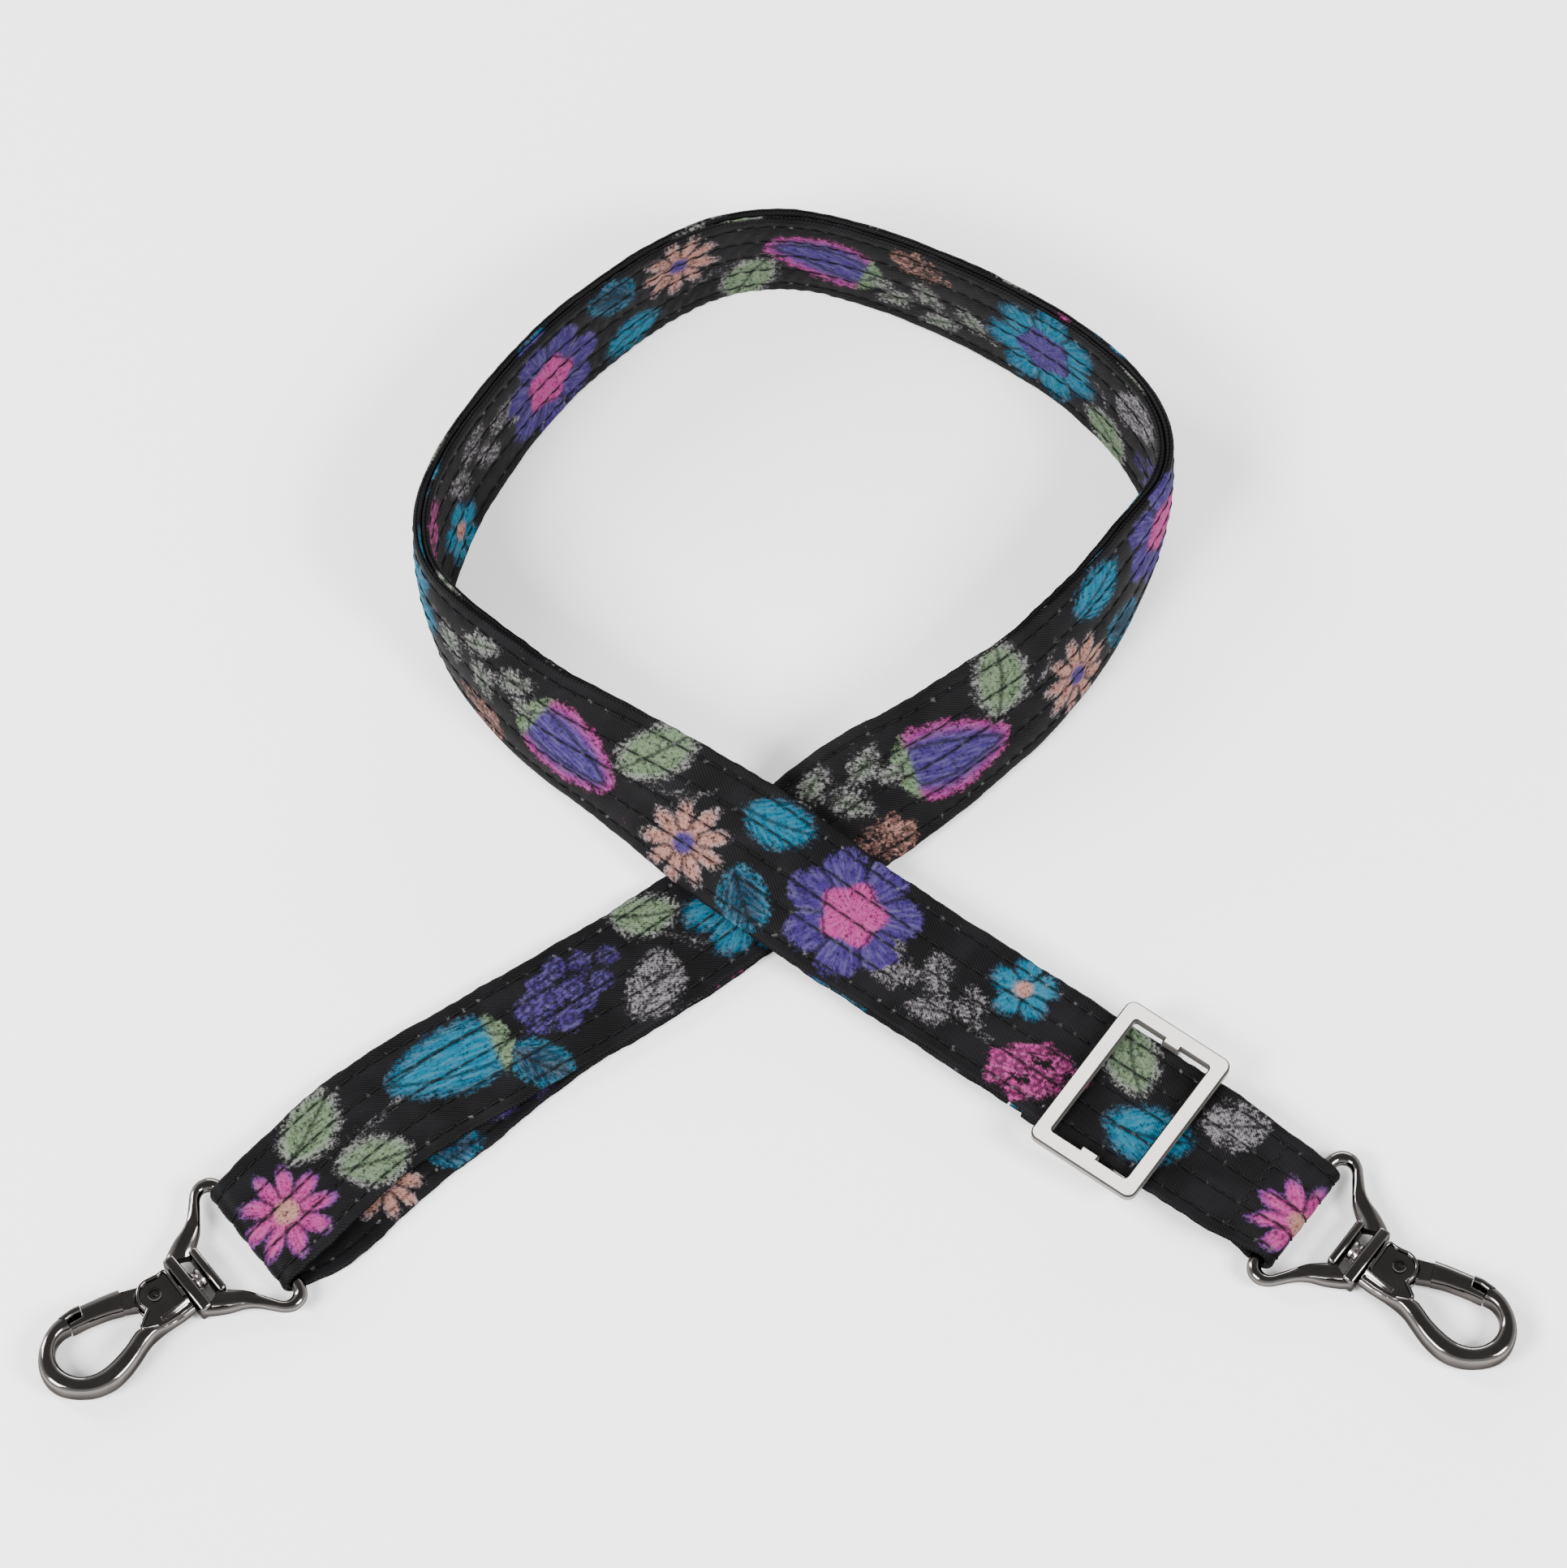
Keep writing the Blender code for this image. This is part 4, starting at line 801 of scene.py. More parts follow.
class Route:
    """The way the doubled webbing lies, read at a distance from the left ring's bar."""

    # x, y of the right-hand edge as shares of the loop's length; lean and curl in degrees;
    # lift as a share of the crossing's lift; width as a share of the webbing's width
    SHARES = (
        (-0.5985, -0.7010, 90, 0, 0.00, 0.920),
        (-0.5455, -0.6420, 90, 0, 0.00, 0.930),
        (-0.4895, -0.5776, 90, 0, 0.00, 0.930),
        (-0.4084, -0.5147, 90, 0, 0.00, 0.930),
        (-0.3413, -0.4720, 90, 0, 0.00, 0.930),
        (-0.2580, -0.4189, 90, 0, 0.00, 0.930),
        (-0.1308, -0.3367, 90, 0, 0.00, 0.930),
        (0.0133, -0.2273, 90, 0, 0.00, 0.940),
        (0.0839, -0.1664, 85, 14, 0.00, 0.970),
        (0.1503, -0.1077, 68, 40, 0.00, 0.985),
        (0.2154, -0.0490, 49, 50, 0.00, 0.985),
        (0.2755, 0.0084, 38, 45, 0.00, 0.985),
        (0.3336, 0.0678, 29, 40, 0.00, 0.985),
        (0.3867, 0.1350, 23, 34, 0.00, 0.985),
        (0.4336, 0.2126, 16, 28, 0.00, 0.985),
        (0.4706, 0.2965, 8, 24, 0.00, 0.985),
        (0.4895, 0.3706, -1, 20, 0.00, 0.985),
        (0.4783, 0.4294, -6, 12, 0.00, 0.985),
        (0.4462, 0.4860, -8, 4, 0.00, 0.985),
        (0.3867, 0.5559, -6.5, 0, 0.00, 0.985),
        (0.3217, 0.6084, -5, 0, 0.00, 0.985),
        (0.2063, 0.6790, -3, 0, 0.00, 0.985),
        (0.1021, 0.7245, -2, 0, 0.00, 0.985),
        (-0.0063, 0.7469, -2, 0, 0.00, 0.985),
        (-0.1140, 0.7203, -3.5, 0, 0.00, 0.985),
        (-0.2049, 0.6566, -5.5, 0, 0.00, 0.985),
        (-0.2881, 0.5748, -8, 0, 0.00, 0.985),
        (-0.3657, 0.4643, -11, 6, 0.00, 0.985),
        (-0.4084, 0.3818, -13, 14, 0.00, 0.985),
        (-0.4350, 0.3063, -12, 24, 0.00, 0.985),
        (-0.4462, 0.2406, -5, 32, 0.00, 0.985),
        (-0.4357, 0.1818, 5, 36, 0.00, 0.985),
        (-0.4056, 0.1273, 13, 38, 0.00, 0.985),
        (-0.3538, 0.0601, 21, 42, 0.00, 0.985),
        (-0.2951, 0.0014, 28, 46, 0.20, 0.985),
        (-0.2336, -0.0559, 38, 50, 0.57, 0.985),
        (-0.1755, -0.1175, 52, 50, 0.98, 0.985),
        (-0.1084, -0.1811, 68, 40, 1.00, 0.990),
        (-0.0154, -0.2549, 84, 16, 1.00, 1.000),
        (0.1039, -0.3394, 90, 0, 1.00, 1.000),
        (0.2075, -0.4134, 90, 0, 1.00, 1.000),
        (0.3412, -0.5089, 90, 0, 1.00, 1.000),
        (0.4436, -0.5821, 90, 0, 1.00, 1.000),
        (0.5120, -0.6308, 90, 0, 1.00, 0.985),
        (0.5520, -0.6590, 90, 0, 1.00, 0.940),
        (0.5948, -0.6880, 90, 0, 1.00, 0.880),
    )
    # Distance from the left bar and the inner run's sideways slip, as shares of the webbing's width
    SLIP_SHARES = (
        (0.0, 0.035), (0.2, 0.12), (0.45, 0.175), (0.85, 0.2),
        (1.3, 0.18), (1.75, 0.13), (2.2, 0.05), (2.7, 0.0),
    )

    def __init__(self, sizes: Webbing, columns: int) -> None:
        """Fit the route.

        Args:
            sizes: The webbing's sizes.
            columns: Steps across the webbing in each row that the route gives.
        """
        self.sizes = sizes
        self.columns = columns
        self.shift = np.zeros(3)
        rows = np.array(self.SHARES, dtype=float)
        rows[:, 0:2] *= sizes.loop_length
        rows[:, 4] *= sizes.lift
        rows[:, 5] *= sizes.width
        steps = np.linalg.norm(np.diff(rows[:, 0:2], axis=0), axis=1)
        distances = np.concatenate([[0.0], np.cumsum(steps)])
        self.length = float(distances[-1])
        self.curve = Curve(distances, rows)
        slip = np.array(self.SLIP_SHARES) * sizes.width
        slip[0, 1] = sizes.slip_at_bar
        self.slip_end = slip[-1, 0]
        self.slip_curve = Curve(slip[:, 0], slip[:, 1:2])

    def slip(self, distance: float) -> float:
        """Sideways slip of the inner run at a distance from the left bar."""
        return 0.0 if distance >= self.slip_end else float(self.slip_curve.value(distance)[0][0])

    def skew(self, distance: float) -> float:
        """Angle by which the rows turn towards the bars near each end, in radians."""
        run = self.sizes.skew_run_share * self.sizes.width
        left = self.sizes.left_skew * ease(1 - distance / run)
        right = self.sizes.right_skew * ease(1 - (self.length - distance) / run)
        return math.radians(left + right)

    def row(self, distance: float, level: float, slip: float = 0.0) -> tuple[Array, Array]:
        """Points and normals across the webbing.

        Args:
            distance: From the left ring's bar.
            level: Above the middle of the two layers.
            slip: Sideways shift.

        Returns:
            The points and the normals.
        """
        (x, y, lean, curl, lift, width), rate = self.curve.value(distance)
        heading = rate[0:2] / np.linalg.norm(rate[0:2])
        outward = np.array([heading[1], -heading[0], 0.0])
        start = math.radians(min(lean, 90.0) - curl / 2)
        bend = math.radians(curl) / width
        across = np.linspace(0.0, width, self.columns + 1)
        angle = start + bend * across
        if abs(curl) < 1e-3:
            out = -math.sin(start) * across
            up = math.cos(start) * across
        else:
            out = (np.cos(angle) - math.cos(start)) / bend
            up = (np.sin(angle) - math.sin(start)) / bend
        reference = self.sizes.layer_gap / 2 + self.sizes.thickness
        base = reference * abs(math.sin(start)) + max(lift, 0.0)
        narrowing = (self.sizes.width - width) / 2 * abs(math.sin(start))
        normals = np.cos(angle)[:, None] * outward + np.sin(angle)[:, None] * np.array([0.0, 0.0, 1.0])
        points = (out + slip - narrowing)[:, None] * outward + np.array([x, y, base])
        points[:, 2] += up
        points = points + level * normals
        turn = self.skew(distance)
        if turn:
            middle = points.mean(axis=0)
            points = (points - middle) @ np.array(Matrix.Rotation(-turn, 3, "Z")).T + middle
        return points + self.shift, normals


class Run:
    """A straight stretch of webbing: paths are drawn in its upright plane, as along and height."""

    def __init__(self, route: Route, distance: float) -> None:
        """Take the row at a distance along the route as the stretch's start."""
        row, _ = route.row(distance, 0.0)
        self.columns = route.columns
        self.edge = np.array([row[0][0], row[0][1], route.shift[2]])
        across = np.array([row[-1][0] - row[0][0], row[-1][1] - row[0][1], 0.0])
        self.width = float(np.linalg.norm(across))
        self.across = across / self.width
        self.along = np.array([self.across[1], -self.across[0], 0.0])

    def rows(self, path: Sequence[tuple[float, float]], slips: Sequence[float] | None = None) -> list:
        """Rows across the webbing for each point of a path, facing its left-hand side."""
        steps = np.array(path)
        shares = np.linspace(0.0, self.width, self.columns + 1)[:, None]
        rows = []
        for i, (along, height) in enumerate(steps):
            step = steps[min(i + 1, len(steps) - 1)] - steps[max(i - 1, 0)]
            step = step / np.linalg.norm(step)
            normal = -step[1] * self.along + np.array([0.0, 0.0, step[0]])
            slip = slips[i] if slips else 0.0
            foot = self.edge - slip * self.across + along * self.along + np.array([0.0, 0.0, height])
            rows.append((foot + self.across * shares, np.tile(normal, (self.columns + 1, 1))))
        return rows


class Surface:
    """The middle of a run of webbing, read at a distance along it and a share across it."""

    def __init__(self, rows: Sequence[tuple[Array, Array]]) -> None:
        """Stack the rows and measure along their middle."""
        self.points = np.array([points for points, _ in rows])
        self.normals = np.array([normals for _, normals in rows])
        middle = self.points[:, self.points.shape[1] // 2]
        steps = np.linalg.norm(np.diff(middle, axis=0), axis=1)
        self.along = np.concatenate([[0.0], np.cumsum(steps)])
        self.length = float(self.along[-1])

    def read(self, along: Array, share: Array) -> tuple[Array, Array, Array]:
        """Points, unit normals and unit sideways directions.

        Args:
            along: Distances along the run.
            share: Shares across it, from 0 to 1.

        Returns:
            Points, normals and the directions in which the share grows.
        """
        row = np.clip(np.searchsorted(self.along, along, side="right") - 1, 0, len(self.along) - 2)
        ahead = (along - self.along[row]) / (self.along[row + 1] - self.along[row])
        columns = self.points.shape[1] - 1
        place = np.clip(share * columns, 0, columns)
        column = np.clip(np.floor(place).astype(int), 0, columns - 1)
        aside = place - column
        blended = []
        for table in (self.points, self.normals):
            near = table[row, column] * (1 - aside)[:, None] + table[row, column + 1] * aside[:, None]
            far = table[row + 1, column] * (1 - aside)[:, None] + table[row + 1, column + 1] * aside[:, None]
            blended.append(near * (1 - ahead)[:, None] + far * ahead[:, None])
        points, normals = blended
        normals /= np.linalg.norm(normals, axis=1)[:, None]
        side = self.points[row, column + 1] - self.points[row, column]
        side /= np.linalg.norm(side, axis=1)[:, None]
        return points, normals, side


@dataclass(frozen=True)
class Quilting:
    """Relief of the sewn cloth, in millimetres on the flat cloth."""

    row_spacing: float = 5.1
    pitch: float = 3.3
    groove: float = 0.26
    groove_width: float = 0.85
    pillow: float = 0.05
    ripple: float = 0.05
    long_ripple: float = 23.0
    short_ripple: float = 13.7
    edge_wave: float = 0.2
    long_edge_wave: float = 17.3
    short_edge_wave: float = 7.9
    scallop: float = 0.06
    scallop_drift: float = 5.1
    pucker: float = 0.11
    pucker_drift: float = 2.3
    pucker_ease: float = 8.0
    pucker_start: float = 0.0
    pucker_end: float = 0.0

    # Shares by which stitches tug the rows, slow ripples show and sewn rows calm the puckers
    TUG_SHARE = 0.4
    SLOW_SHARE = 0.4
    CALM_SHARE = 0.6
    # Pitch of the fine ripples and of the puckers, as shares of the stitches' pitch
    FINE_PITCH_SHARE = 1.37
    PUCKER_PITCH_SHARE = 0.9

    def relief(self, along: Array, across: Array) -> Array:
        """Height of the cloth's face above its even level."""
        turn = 2 * math.pi * along
        row = np.rint(across / self.row_spacing)
        away = across - row * self.row_spacing
        sewn = np.exp(-((away / self.groove_width) ** 2))
        tug = 1 - self.TUG_SHARE + self.TUG_SHARE * np.cos(turn / self.pitch)
        fine = np.sin(turn / (self.pitch * self.FINE_PITCH_SHARE) + 1.7 * across)
        slow = np.sin(turn / self.long_ripple + 0.35 * across)
        slow += np.sin(turn / self.short_ripple - 0.5 * across)
        begins = ease((along - self.pucker_start) / self.pucker_ease)
        gathered = begins * ease((self.pucker_end - along) / self.pucker_ease)
        drift = 0.6 * np.sin(along / self.pucker_drift)
        crease = np.sin(turn / (self.PUCKER_PITCH_SHARE * self.pitch) + 1.9 * row + drift)
        height = self.pillow * (1 - sewn) - self.groove * sewn * tug
        height += self.ripple * (fine * sewn + self.SLOW_SHARE * slow)
        return height + self.pucker * gathered * crease * (1 - self.CALM_SHARE * sewn)

    def wave(self, along: Array, side: Array) -> Array:
        """How far an edge strays sideways."""
        turn = 2 * math.pi * along
        wave = np.sin(turn / self.long_edge_wave + 2.1 * side) * 0.6
        wave += np.sin(turn / self.short_edge_wave + 4.0 * side) * 0.4
        tuck = np.cos(turn / self.pitch) * (1 + 0.6 * np.sin(along / self.scallop_drift + side))
        return self.edge_wave * wave - self.scallop * tuck


@dataclass(frozen=True)
class QuiltedRun:
    """A run of webbing: closed quilted cloth and the rows of thread on its visible face.

    Its pieces' names start with its name. The visible face is on the normals' side where face is 1,
    and on the other where it is -1. The phase is where the print starts, in millimetres.
    """

    name: str
    surface: Surface
    sizes: Webbing
    face: int
    phase: float
    quilting: Quilting = Quilting()

    STEP = 0.00075
    FLAT_COLUMNS = 32
    EDGE_COLUMNS = 8
    EDGE_NOTCH = 0.00022
    THREAD_RADIUS = 0.00014
    THREAD_STEPS = 8
    THREAD_SIDES = 5
    HOLE_SHARE = 0.11
    CROSS_HOLE_SHARE = 0.14
    CROSS_PITCH = 0.0026
    CROSS_MARGIN = 0.0017
    CROSS_SPREAD = 0.0004
    # How far a thread's middle stands above the cloth, and sinks at a hole, as shares of its radius
    SEAT_SHARE = 0.75
    SINK_SHARE = 3.4

    def section(self) -> tuple[Array, Array, Array]:
        """Share across, outward reach and level for each column round the cloth."""
        radius = self.sizes.thickness / 2
        inner = radius / self.sizes.width
        flat = np.linspace(inner, 1 - inner, self.FLAT_COLUMNS + 1)
        turn = np.linspace(math.pi / 2, -math.pi / 2, self.EDGE_COLUMNS + 1)[1:-1]
        edges = [np.full(len(turn), side) for side in (1 - inner, inner)]
        share = np.concatenate([flat, edges[0], flat[::-1], edges[1], flat[:1]])
        zero = np.zeros(len(flat))
        reach = radius * np.cos(turn) - self.EDGE_NOTCH * (np.abs(turn) < 0.1)
        out = np.concatenate([zero, reach, zero, -reach, [0.0]])
        level = radius * np.concatenate([zero + 1, np.sin(turn), zero - 1, np.sin(turn[::-1]), [1.0]])
        return share, out, level

    def cloth(self, surface_finish: bpy.types.Material, node: str) -> bpy.types.Object:
        """The cloth, which replaces a CAD node."""
        share, out, level = self.section()
        columns = len(share) - 1
        rows = max(int(self.surface.length / self.STEP), 4)
        half = self.sizes.thickness / 2
        kept = {}

        def place(column: Array, row: Array) -> Array:
            """Points of the cloth for column and row numbers."""
            along = row / rows * self.surface.length
            points, normals, side = self.surface.read(along, share[column])
            across = (share[column] - 0.5) * self.sizes.width * 1000 + out[column] * 1000
            faced = level[column] / half
            relief = self.quilting.relief(along * 1000, across) * faced / 1000
            edge = np.abs(2 * share[column] - 1) ** 6
            stray = self.quilting.wave(along * 1000, np.sign(across)) * edge / 1000
            kept["place"] = np.stack([along + self.phase / 1000, across / 1000, level[column]], axis=1)
            kept["print"] = (along * 1000 + self.phase, across * np.sign(faced + 1e-6))
            points = points + side * (out[column] + stray * np.sign(across))[:, None]
            return points + normals * (level[column] + relief)[:, None]

        mesh = grid_piece(self.name, columns, rows, place)
        set_attribute(mesh, "cloth_place", kept["place"])
        for key, values in FloralPrint().paint(*kept["print"]).items():
            set_attribute(mesh, key, values)
        bm = bmesh.new()
        take_mesh(bm, mesh)
        close_seam(bm)
        return finish_piece(f"{self.name}_cloth", bm, surface_finish, [node], sharp=60.0)

    def thread(self, bm: bmesh.types.BMesh, along: Array, across: Array, dips: Array) -> None:
        """Add one line of thread that dips into the cloth at its needle holes.

        Args:
            bm: The bmesh that the thread is added to.
            along: Distances along the run of the thread's samples.
            across: Their places across it, from its middle.
            dips: How deep each sample is drawn in, from 0 to 1.
        """
        share = 0.5 + across / self.sizes.width
        points, normals, _ = self.surface.read(along, share)
        relief = self.quilting.relief(along * 1000, across * 1000) / 1000
        seat = self.THREAD_RADIUS * (self.SEAT_SHARE - self.SINK_SHARE * dips)
        lift = self.sizes.thickness / 2 + relief + seat
        middle = points + normals * (self.face * lift)[:, None]
        ahead = np.gradient(middle, axis=0)
        ahead /= np.linalg.norm(ahead, axis=1)[:, None]
        sideways = np.cross(normals, ahead)
        rows = len(along) - 1
        kept = {}

        def place(column: Array, row: Array) -> Array:
            """Points round the thread."""
            angle = column * (2 * math.pi / self.THREAD_SIDES)
            turns = column / self.THREAD_SIDES
            kept["place"] = np.stack([along[row] + across[row], turns, 0 * angle], axis=1)
            ring = np.cos(angle)[:, None] * sideways[row] + np.sin(angle)[:, None] * normals[row]
            return middle[row] + self.THREAD_RADIUS * ring

        mesh = grid_piece("thread", self.THREAD_SIDES, rows, place)
        set_attribute(mesh, "thread_place", kept["place"])
        take_mesh(bm, mesh)

    def stitches(self, count: int, hole_share: float) -> tuple[Array, Array]:
        """Samples along a row of stitches, 1 apart from hole to hole, and how deep each is drawn in."""
        samples = np.arange(count * self.THREAD_STEPS + 1) / self.THREAD_STEPS
        return samples, np.exp(-(((samples - np.rint(samples)) / hole_share) ** 2))

    def quilting_rows(self, surface_finish: bpy.types.Material) -> bpy.types.Object:
        """The five lengthwise rows of stitches on the visible face."""
        pitch = self.quilting.pitch / 1000
        first = math.ceil(self.phase / self.quilting.pitch) * pitch - self.phase / 1000
        count = int((self.surface.length - first) / pitch)
        samples, dips = self.stitches(count, self.HOLE_SHARE)
        bm = bmesh.new()
        for row in range(-2, 3):
            place = np.full(len(samples), row * self.quilting.row_spacing / 1000)
            self.thread(bm, first + samples * pitch, place, dips)
        close_seam(bm)
        return finish_piece(f"{self.name}_quilting", bm, surface_finish, sharp=80.0)

    def cross_row(
        self, name: str, finish: bpy.types.Material, distance: float, node: str
    ) -> bpy.types.Object:
        """A double row of stitches across the webbing, sewn back over itself.

        Args:
            name: The piece's name.
            finish: Its material.
            distance: Where it is along the run.
            node: The CAD node that the piece replaces.

        Returns:
            The new piece.
        """
        half = self.sizes.width / 2 - self.CROSS_MARGIN
        count = int(2 * half / self.CROSS_PITCH)
        samples, dips = self.stitches(count, self.CROSS_HOLE_SHARE)
        across = (samples / count - 0.5) * 2 * half
        bm = bmesh.new()
        for side in (-1, 1):
            weave = side * self.CROSS_SPREAD * np.cos(math.pi * samples)
            self.thread(bm, distance + weave, across, dips)
        close_seam(bm)
        return finish_piece(name, bm, finish, [node], sharp=80.0)


class StrapMaker:
    """Builds the webbing's four runs and their stitching."""

    STEP = 0.00075
    COLUMNS = 24
    # Rows of the route between which the inner run is gathered, at the top of the loop
    GATHERED_ROWS = (22, 26)
    # Where the print starts on the outer run, the inner run, the feed run and the end loop, in millimetres
    PRINT_STARTS = (0.0, 171.6, 66.0, 211.2)

    def __init__(self, sizes: Webbing) -> None:
        """Lay the route out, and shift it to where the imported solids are."""
        self.sizes = sizes
        self.route = Route(sizes, self.COLUMNS)
        low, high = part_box("strap_inner_run")
        own = self.inner_surface().points.reshape(-1, 3)
        own_middle = (own.min(axis=0) + own.max(axis=0)) / 2
        self.route.shift = np.array((low + high) / 2) - own_middle
        bar_bottom = sizes.lift - sizes.layer_gap - sizes.middle_bar_thickness
        self.route.shift[2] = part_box("slider_frame")[0][2] - bar_bottom
        self.slider_place = self.route.length - sizes.slider_from_ring
        self.loop_start = self.slider_place + sizes.middle_bar / 2 - sizes.end_loop - sizes.layer_gap
        self.feed_start = self.loop_start - sizes.feed

    def steps(self, start: float, end: float) -> Array:
        """Distances from start to end."""
        return np.linspace(start, end, max(int((end - start) / self.STEP), 2) + 1)

    def turn(self, height: float, radius: float, start: float, end: float, along: float = 0.0) -> list:
        """Points round a bar from one angle to another, 90 degrees being the top."""
        count = max(int(abs(math.radians(end - start)) * radius / self.STEP), 8)
        angles = np.radians(np.linspace(start, end, count + 1))
        return [(along + radius * math.cos(a), height + radius * math.sin(a)) for a in angles]

    def top_level(self, distance: float) -> float:
        """Level of the outer run, which rises or sinks to meet each bar."""
        sizes = self.sizes
        reference = sizes.layer_gap / 2 + sizes.thickness
        over_bar = sizes.bar_height + sizes.fold_radius
        left = (over_bar - reference - sizes.offset) * ease(1 - distance / sizes.left_ease)
        flat = self.route.length - distance - sizes.tab_seam - sizes.thickness
        right = (over_bar - reference - sizes.lift - sizes.offset) * ease(1 - flat / sizes.right_ease)
        return sizes.offset + left + right

    def outer_surface(self) -> Surface:
        """Round the left bar, round the loop, through the slider and round the right bar."""
        sizes = self.sizes
        path = self.turn(sizes.bar_height, sizes.fold_radius, 270, 90)[:-1]
        slips = [sizes.slip_at_bar * (1 - i / len(path)) for i in range(len(path))]
        rows = Run(self.route, 0.0).rows(path, slips)
        for distance in self.steps(0.0, self.route.length):
            rows.append(self.route.row(distance, self.top_level(distance)))
        low = sizes.bar_height - sizes.fold_radius
        high = sizes.bar_height + sizes.fold_radius - sizes.thickness - sizes.layer_gap
        path = self.turn(sizes.bar_height, sizes.fold_radius, 90, -90)
        for along in self.steps(0.0, sizes.tab_length)[1:]:
            path.append((-along, low + (high - low) * float(ease(along / sizes.tab_rise))))
        rows += Run(self.route, self.route.length).rows(path)[1:]
        return Surface(rows)

    def inner_surface(self) -> Surface:
        """From the left bar back round the loop to just past the crossing."""
        sizes = self.sizes
        end = self.route.length - sizes.slider_from_ring + sizes.middle_bar / 2 - sizes.end_loop
        end -= sizes.feed + 2 * sizes.layer_gap
        rows = []
        for distance in self.steps(sizes.layer_gap, end):
            rows.append(self.route.row(distance, -sizes.offset, self.route.slip(distance)))
        return Surface(rows)

    def feed_surface(self) -> Surface:
        """From just past the crossing to the slider's end loop."""
        distances = self.steps(self.feed_start, self.loop_start - self.sizes.layer_gap)
        return Surface([self.route.row(distance, -self.sizes.offset) for distance in distances])

    def loop_surface(self) -> Surface:
        """Round the slider's middle bar and back."""
        sizes = self.sizes
        radius = sizes.middle_bar_thickness / 2 + sizes.layer_gap + sizes.thickness / 2
        upper = sizes.lift + sizes.thickness / 2
        turn = sizes.middle_bar / 2
        path = [(along, upper) for along in self.steps(turn - sizes.end_loop, turn)[:-1]]
        path += self.turn(upper - radius, radius, 90, -90, turn)
        low = upper - 2 * radius
        high = upper - sizes.thickness - sizes.layer_gap
        flat = turn + radius + sizes.thickness
        for along in self.steps(0.0, sizes.end_tail)[1:]:
            rise = float(ease((along - flat) / sizes.end_loop_rise))
            path.append((turn - along, low + (high - low) * rise))
        return Surface(Run(self.route, self.slider_place).rows(path))

    def make(self, cloth: bpy.types.Material, thread: bpy.types.Material) -> None:
        """Build and dress every run, and hang each but the feed run on its body."""
        sizes = self.sizes
        starts = self.PRINT_STARTS
        outer = QuiltedRun("strap_outer", self.outer_surface(), sizes, 1, starts[0])
        gather = [self.route.curve.at[row] * 1000 for row in self.GATHERED_ROWS]
        puckered = Quilting(pucker_start=gather[0], pucker_end=gather[1])
        inner = QuiltedRun("strap_inner", self.inner_surface(), sizes, -1, starts[1], puckered)
        feed = QuiltedRun("strap_feed", self.feed_surface(), sizes, -1, starts[2])
        loop = QuiltedRun("slider_loop", self.loop_surface(), sizes, 1, starts[3])
        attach(outer.cloth(cloth, "strap_outer_run"), "strap")
        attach(outer.quilting_rows(thread), "strap")
        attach(inner.cloth(cloth, "strap_inner_run"), "strap")
        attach(inner.quilting_rows(thread), "strap")
        tail = outer.surface.length - sizes.tab_length
        upper = tail - math.pi * sizes.fold_radius - sizes.tab_seam
        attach(outer.cross_row("right_tab_stitching", thread, upper, "right_tab_seam_upper"), "strap")
        lower = tail + sizes.tab_seam
        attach(outer.cross_row("right_tab_back_stitching", thread, lower, "right_tab_seam_lower"), "strap")
        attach(loop.cloth(cloth, "strap_end_loop"), "slider")
        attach(loop.quilting_rows(thread), "slider")
        end = loop.surface.length - sizes.end_seam
        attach(loop.cross_row("slider_loop_stitching", thread, end, "slider_loop_seam"), "slider")
        for piece in (feed.cloth(cloth, "strap_feed_run"), feed.quilting_rows(thread)):
            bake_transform(piece)


def smooth_rows(rows: Array, steps: int) -> Array:
    """Rows on smooth curves through the given rows, with their first and last kept."""
    padded = np.vstack([2 * rows[0] - rows[1], rows, 2 * rows[-1] - rows[-2]])
    line = []
    for i in range(1, len(padded) - 2):
        a, b, c, d = padded[i - 1 : i + 3]
        bend = 2 * a - 5 * b + 4 * c - d
        change = 3 * b - a - 3 * c + d
        for t in np.arange(steps) / steps:
            line.append(b + (c - a) * (t / 2) + bend * (t * t / 2) + change * (t**3 / 2))
    line.append(rows[-1])
    return np.array(line)


# How much of the walls' squareness the crown has, and where across a bar its sunken face ends
CROWN_SHARE = 0.3
DISH_SHARE = 0.72
DISH_EASE_SHARE = 0.3


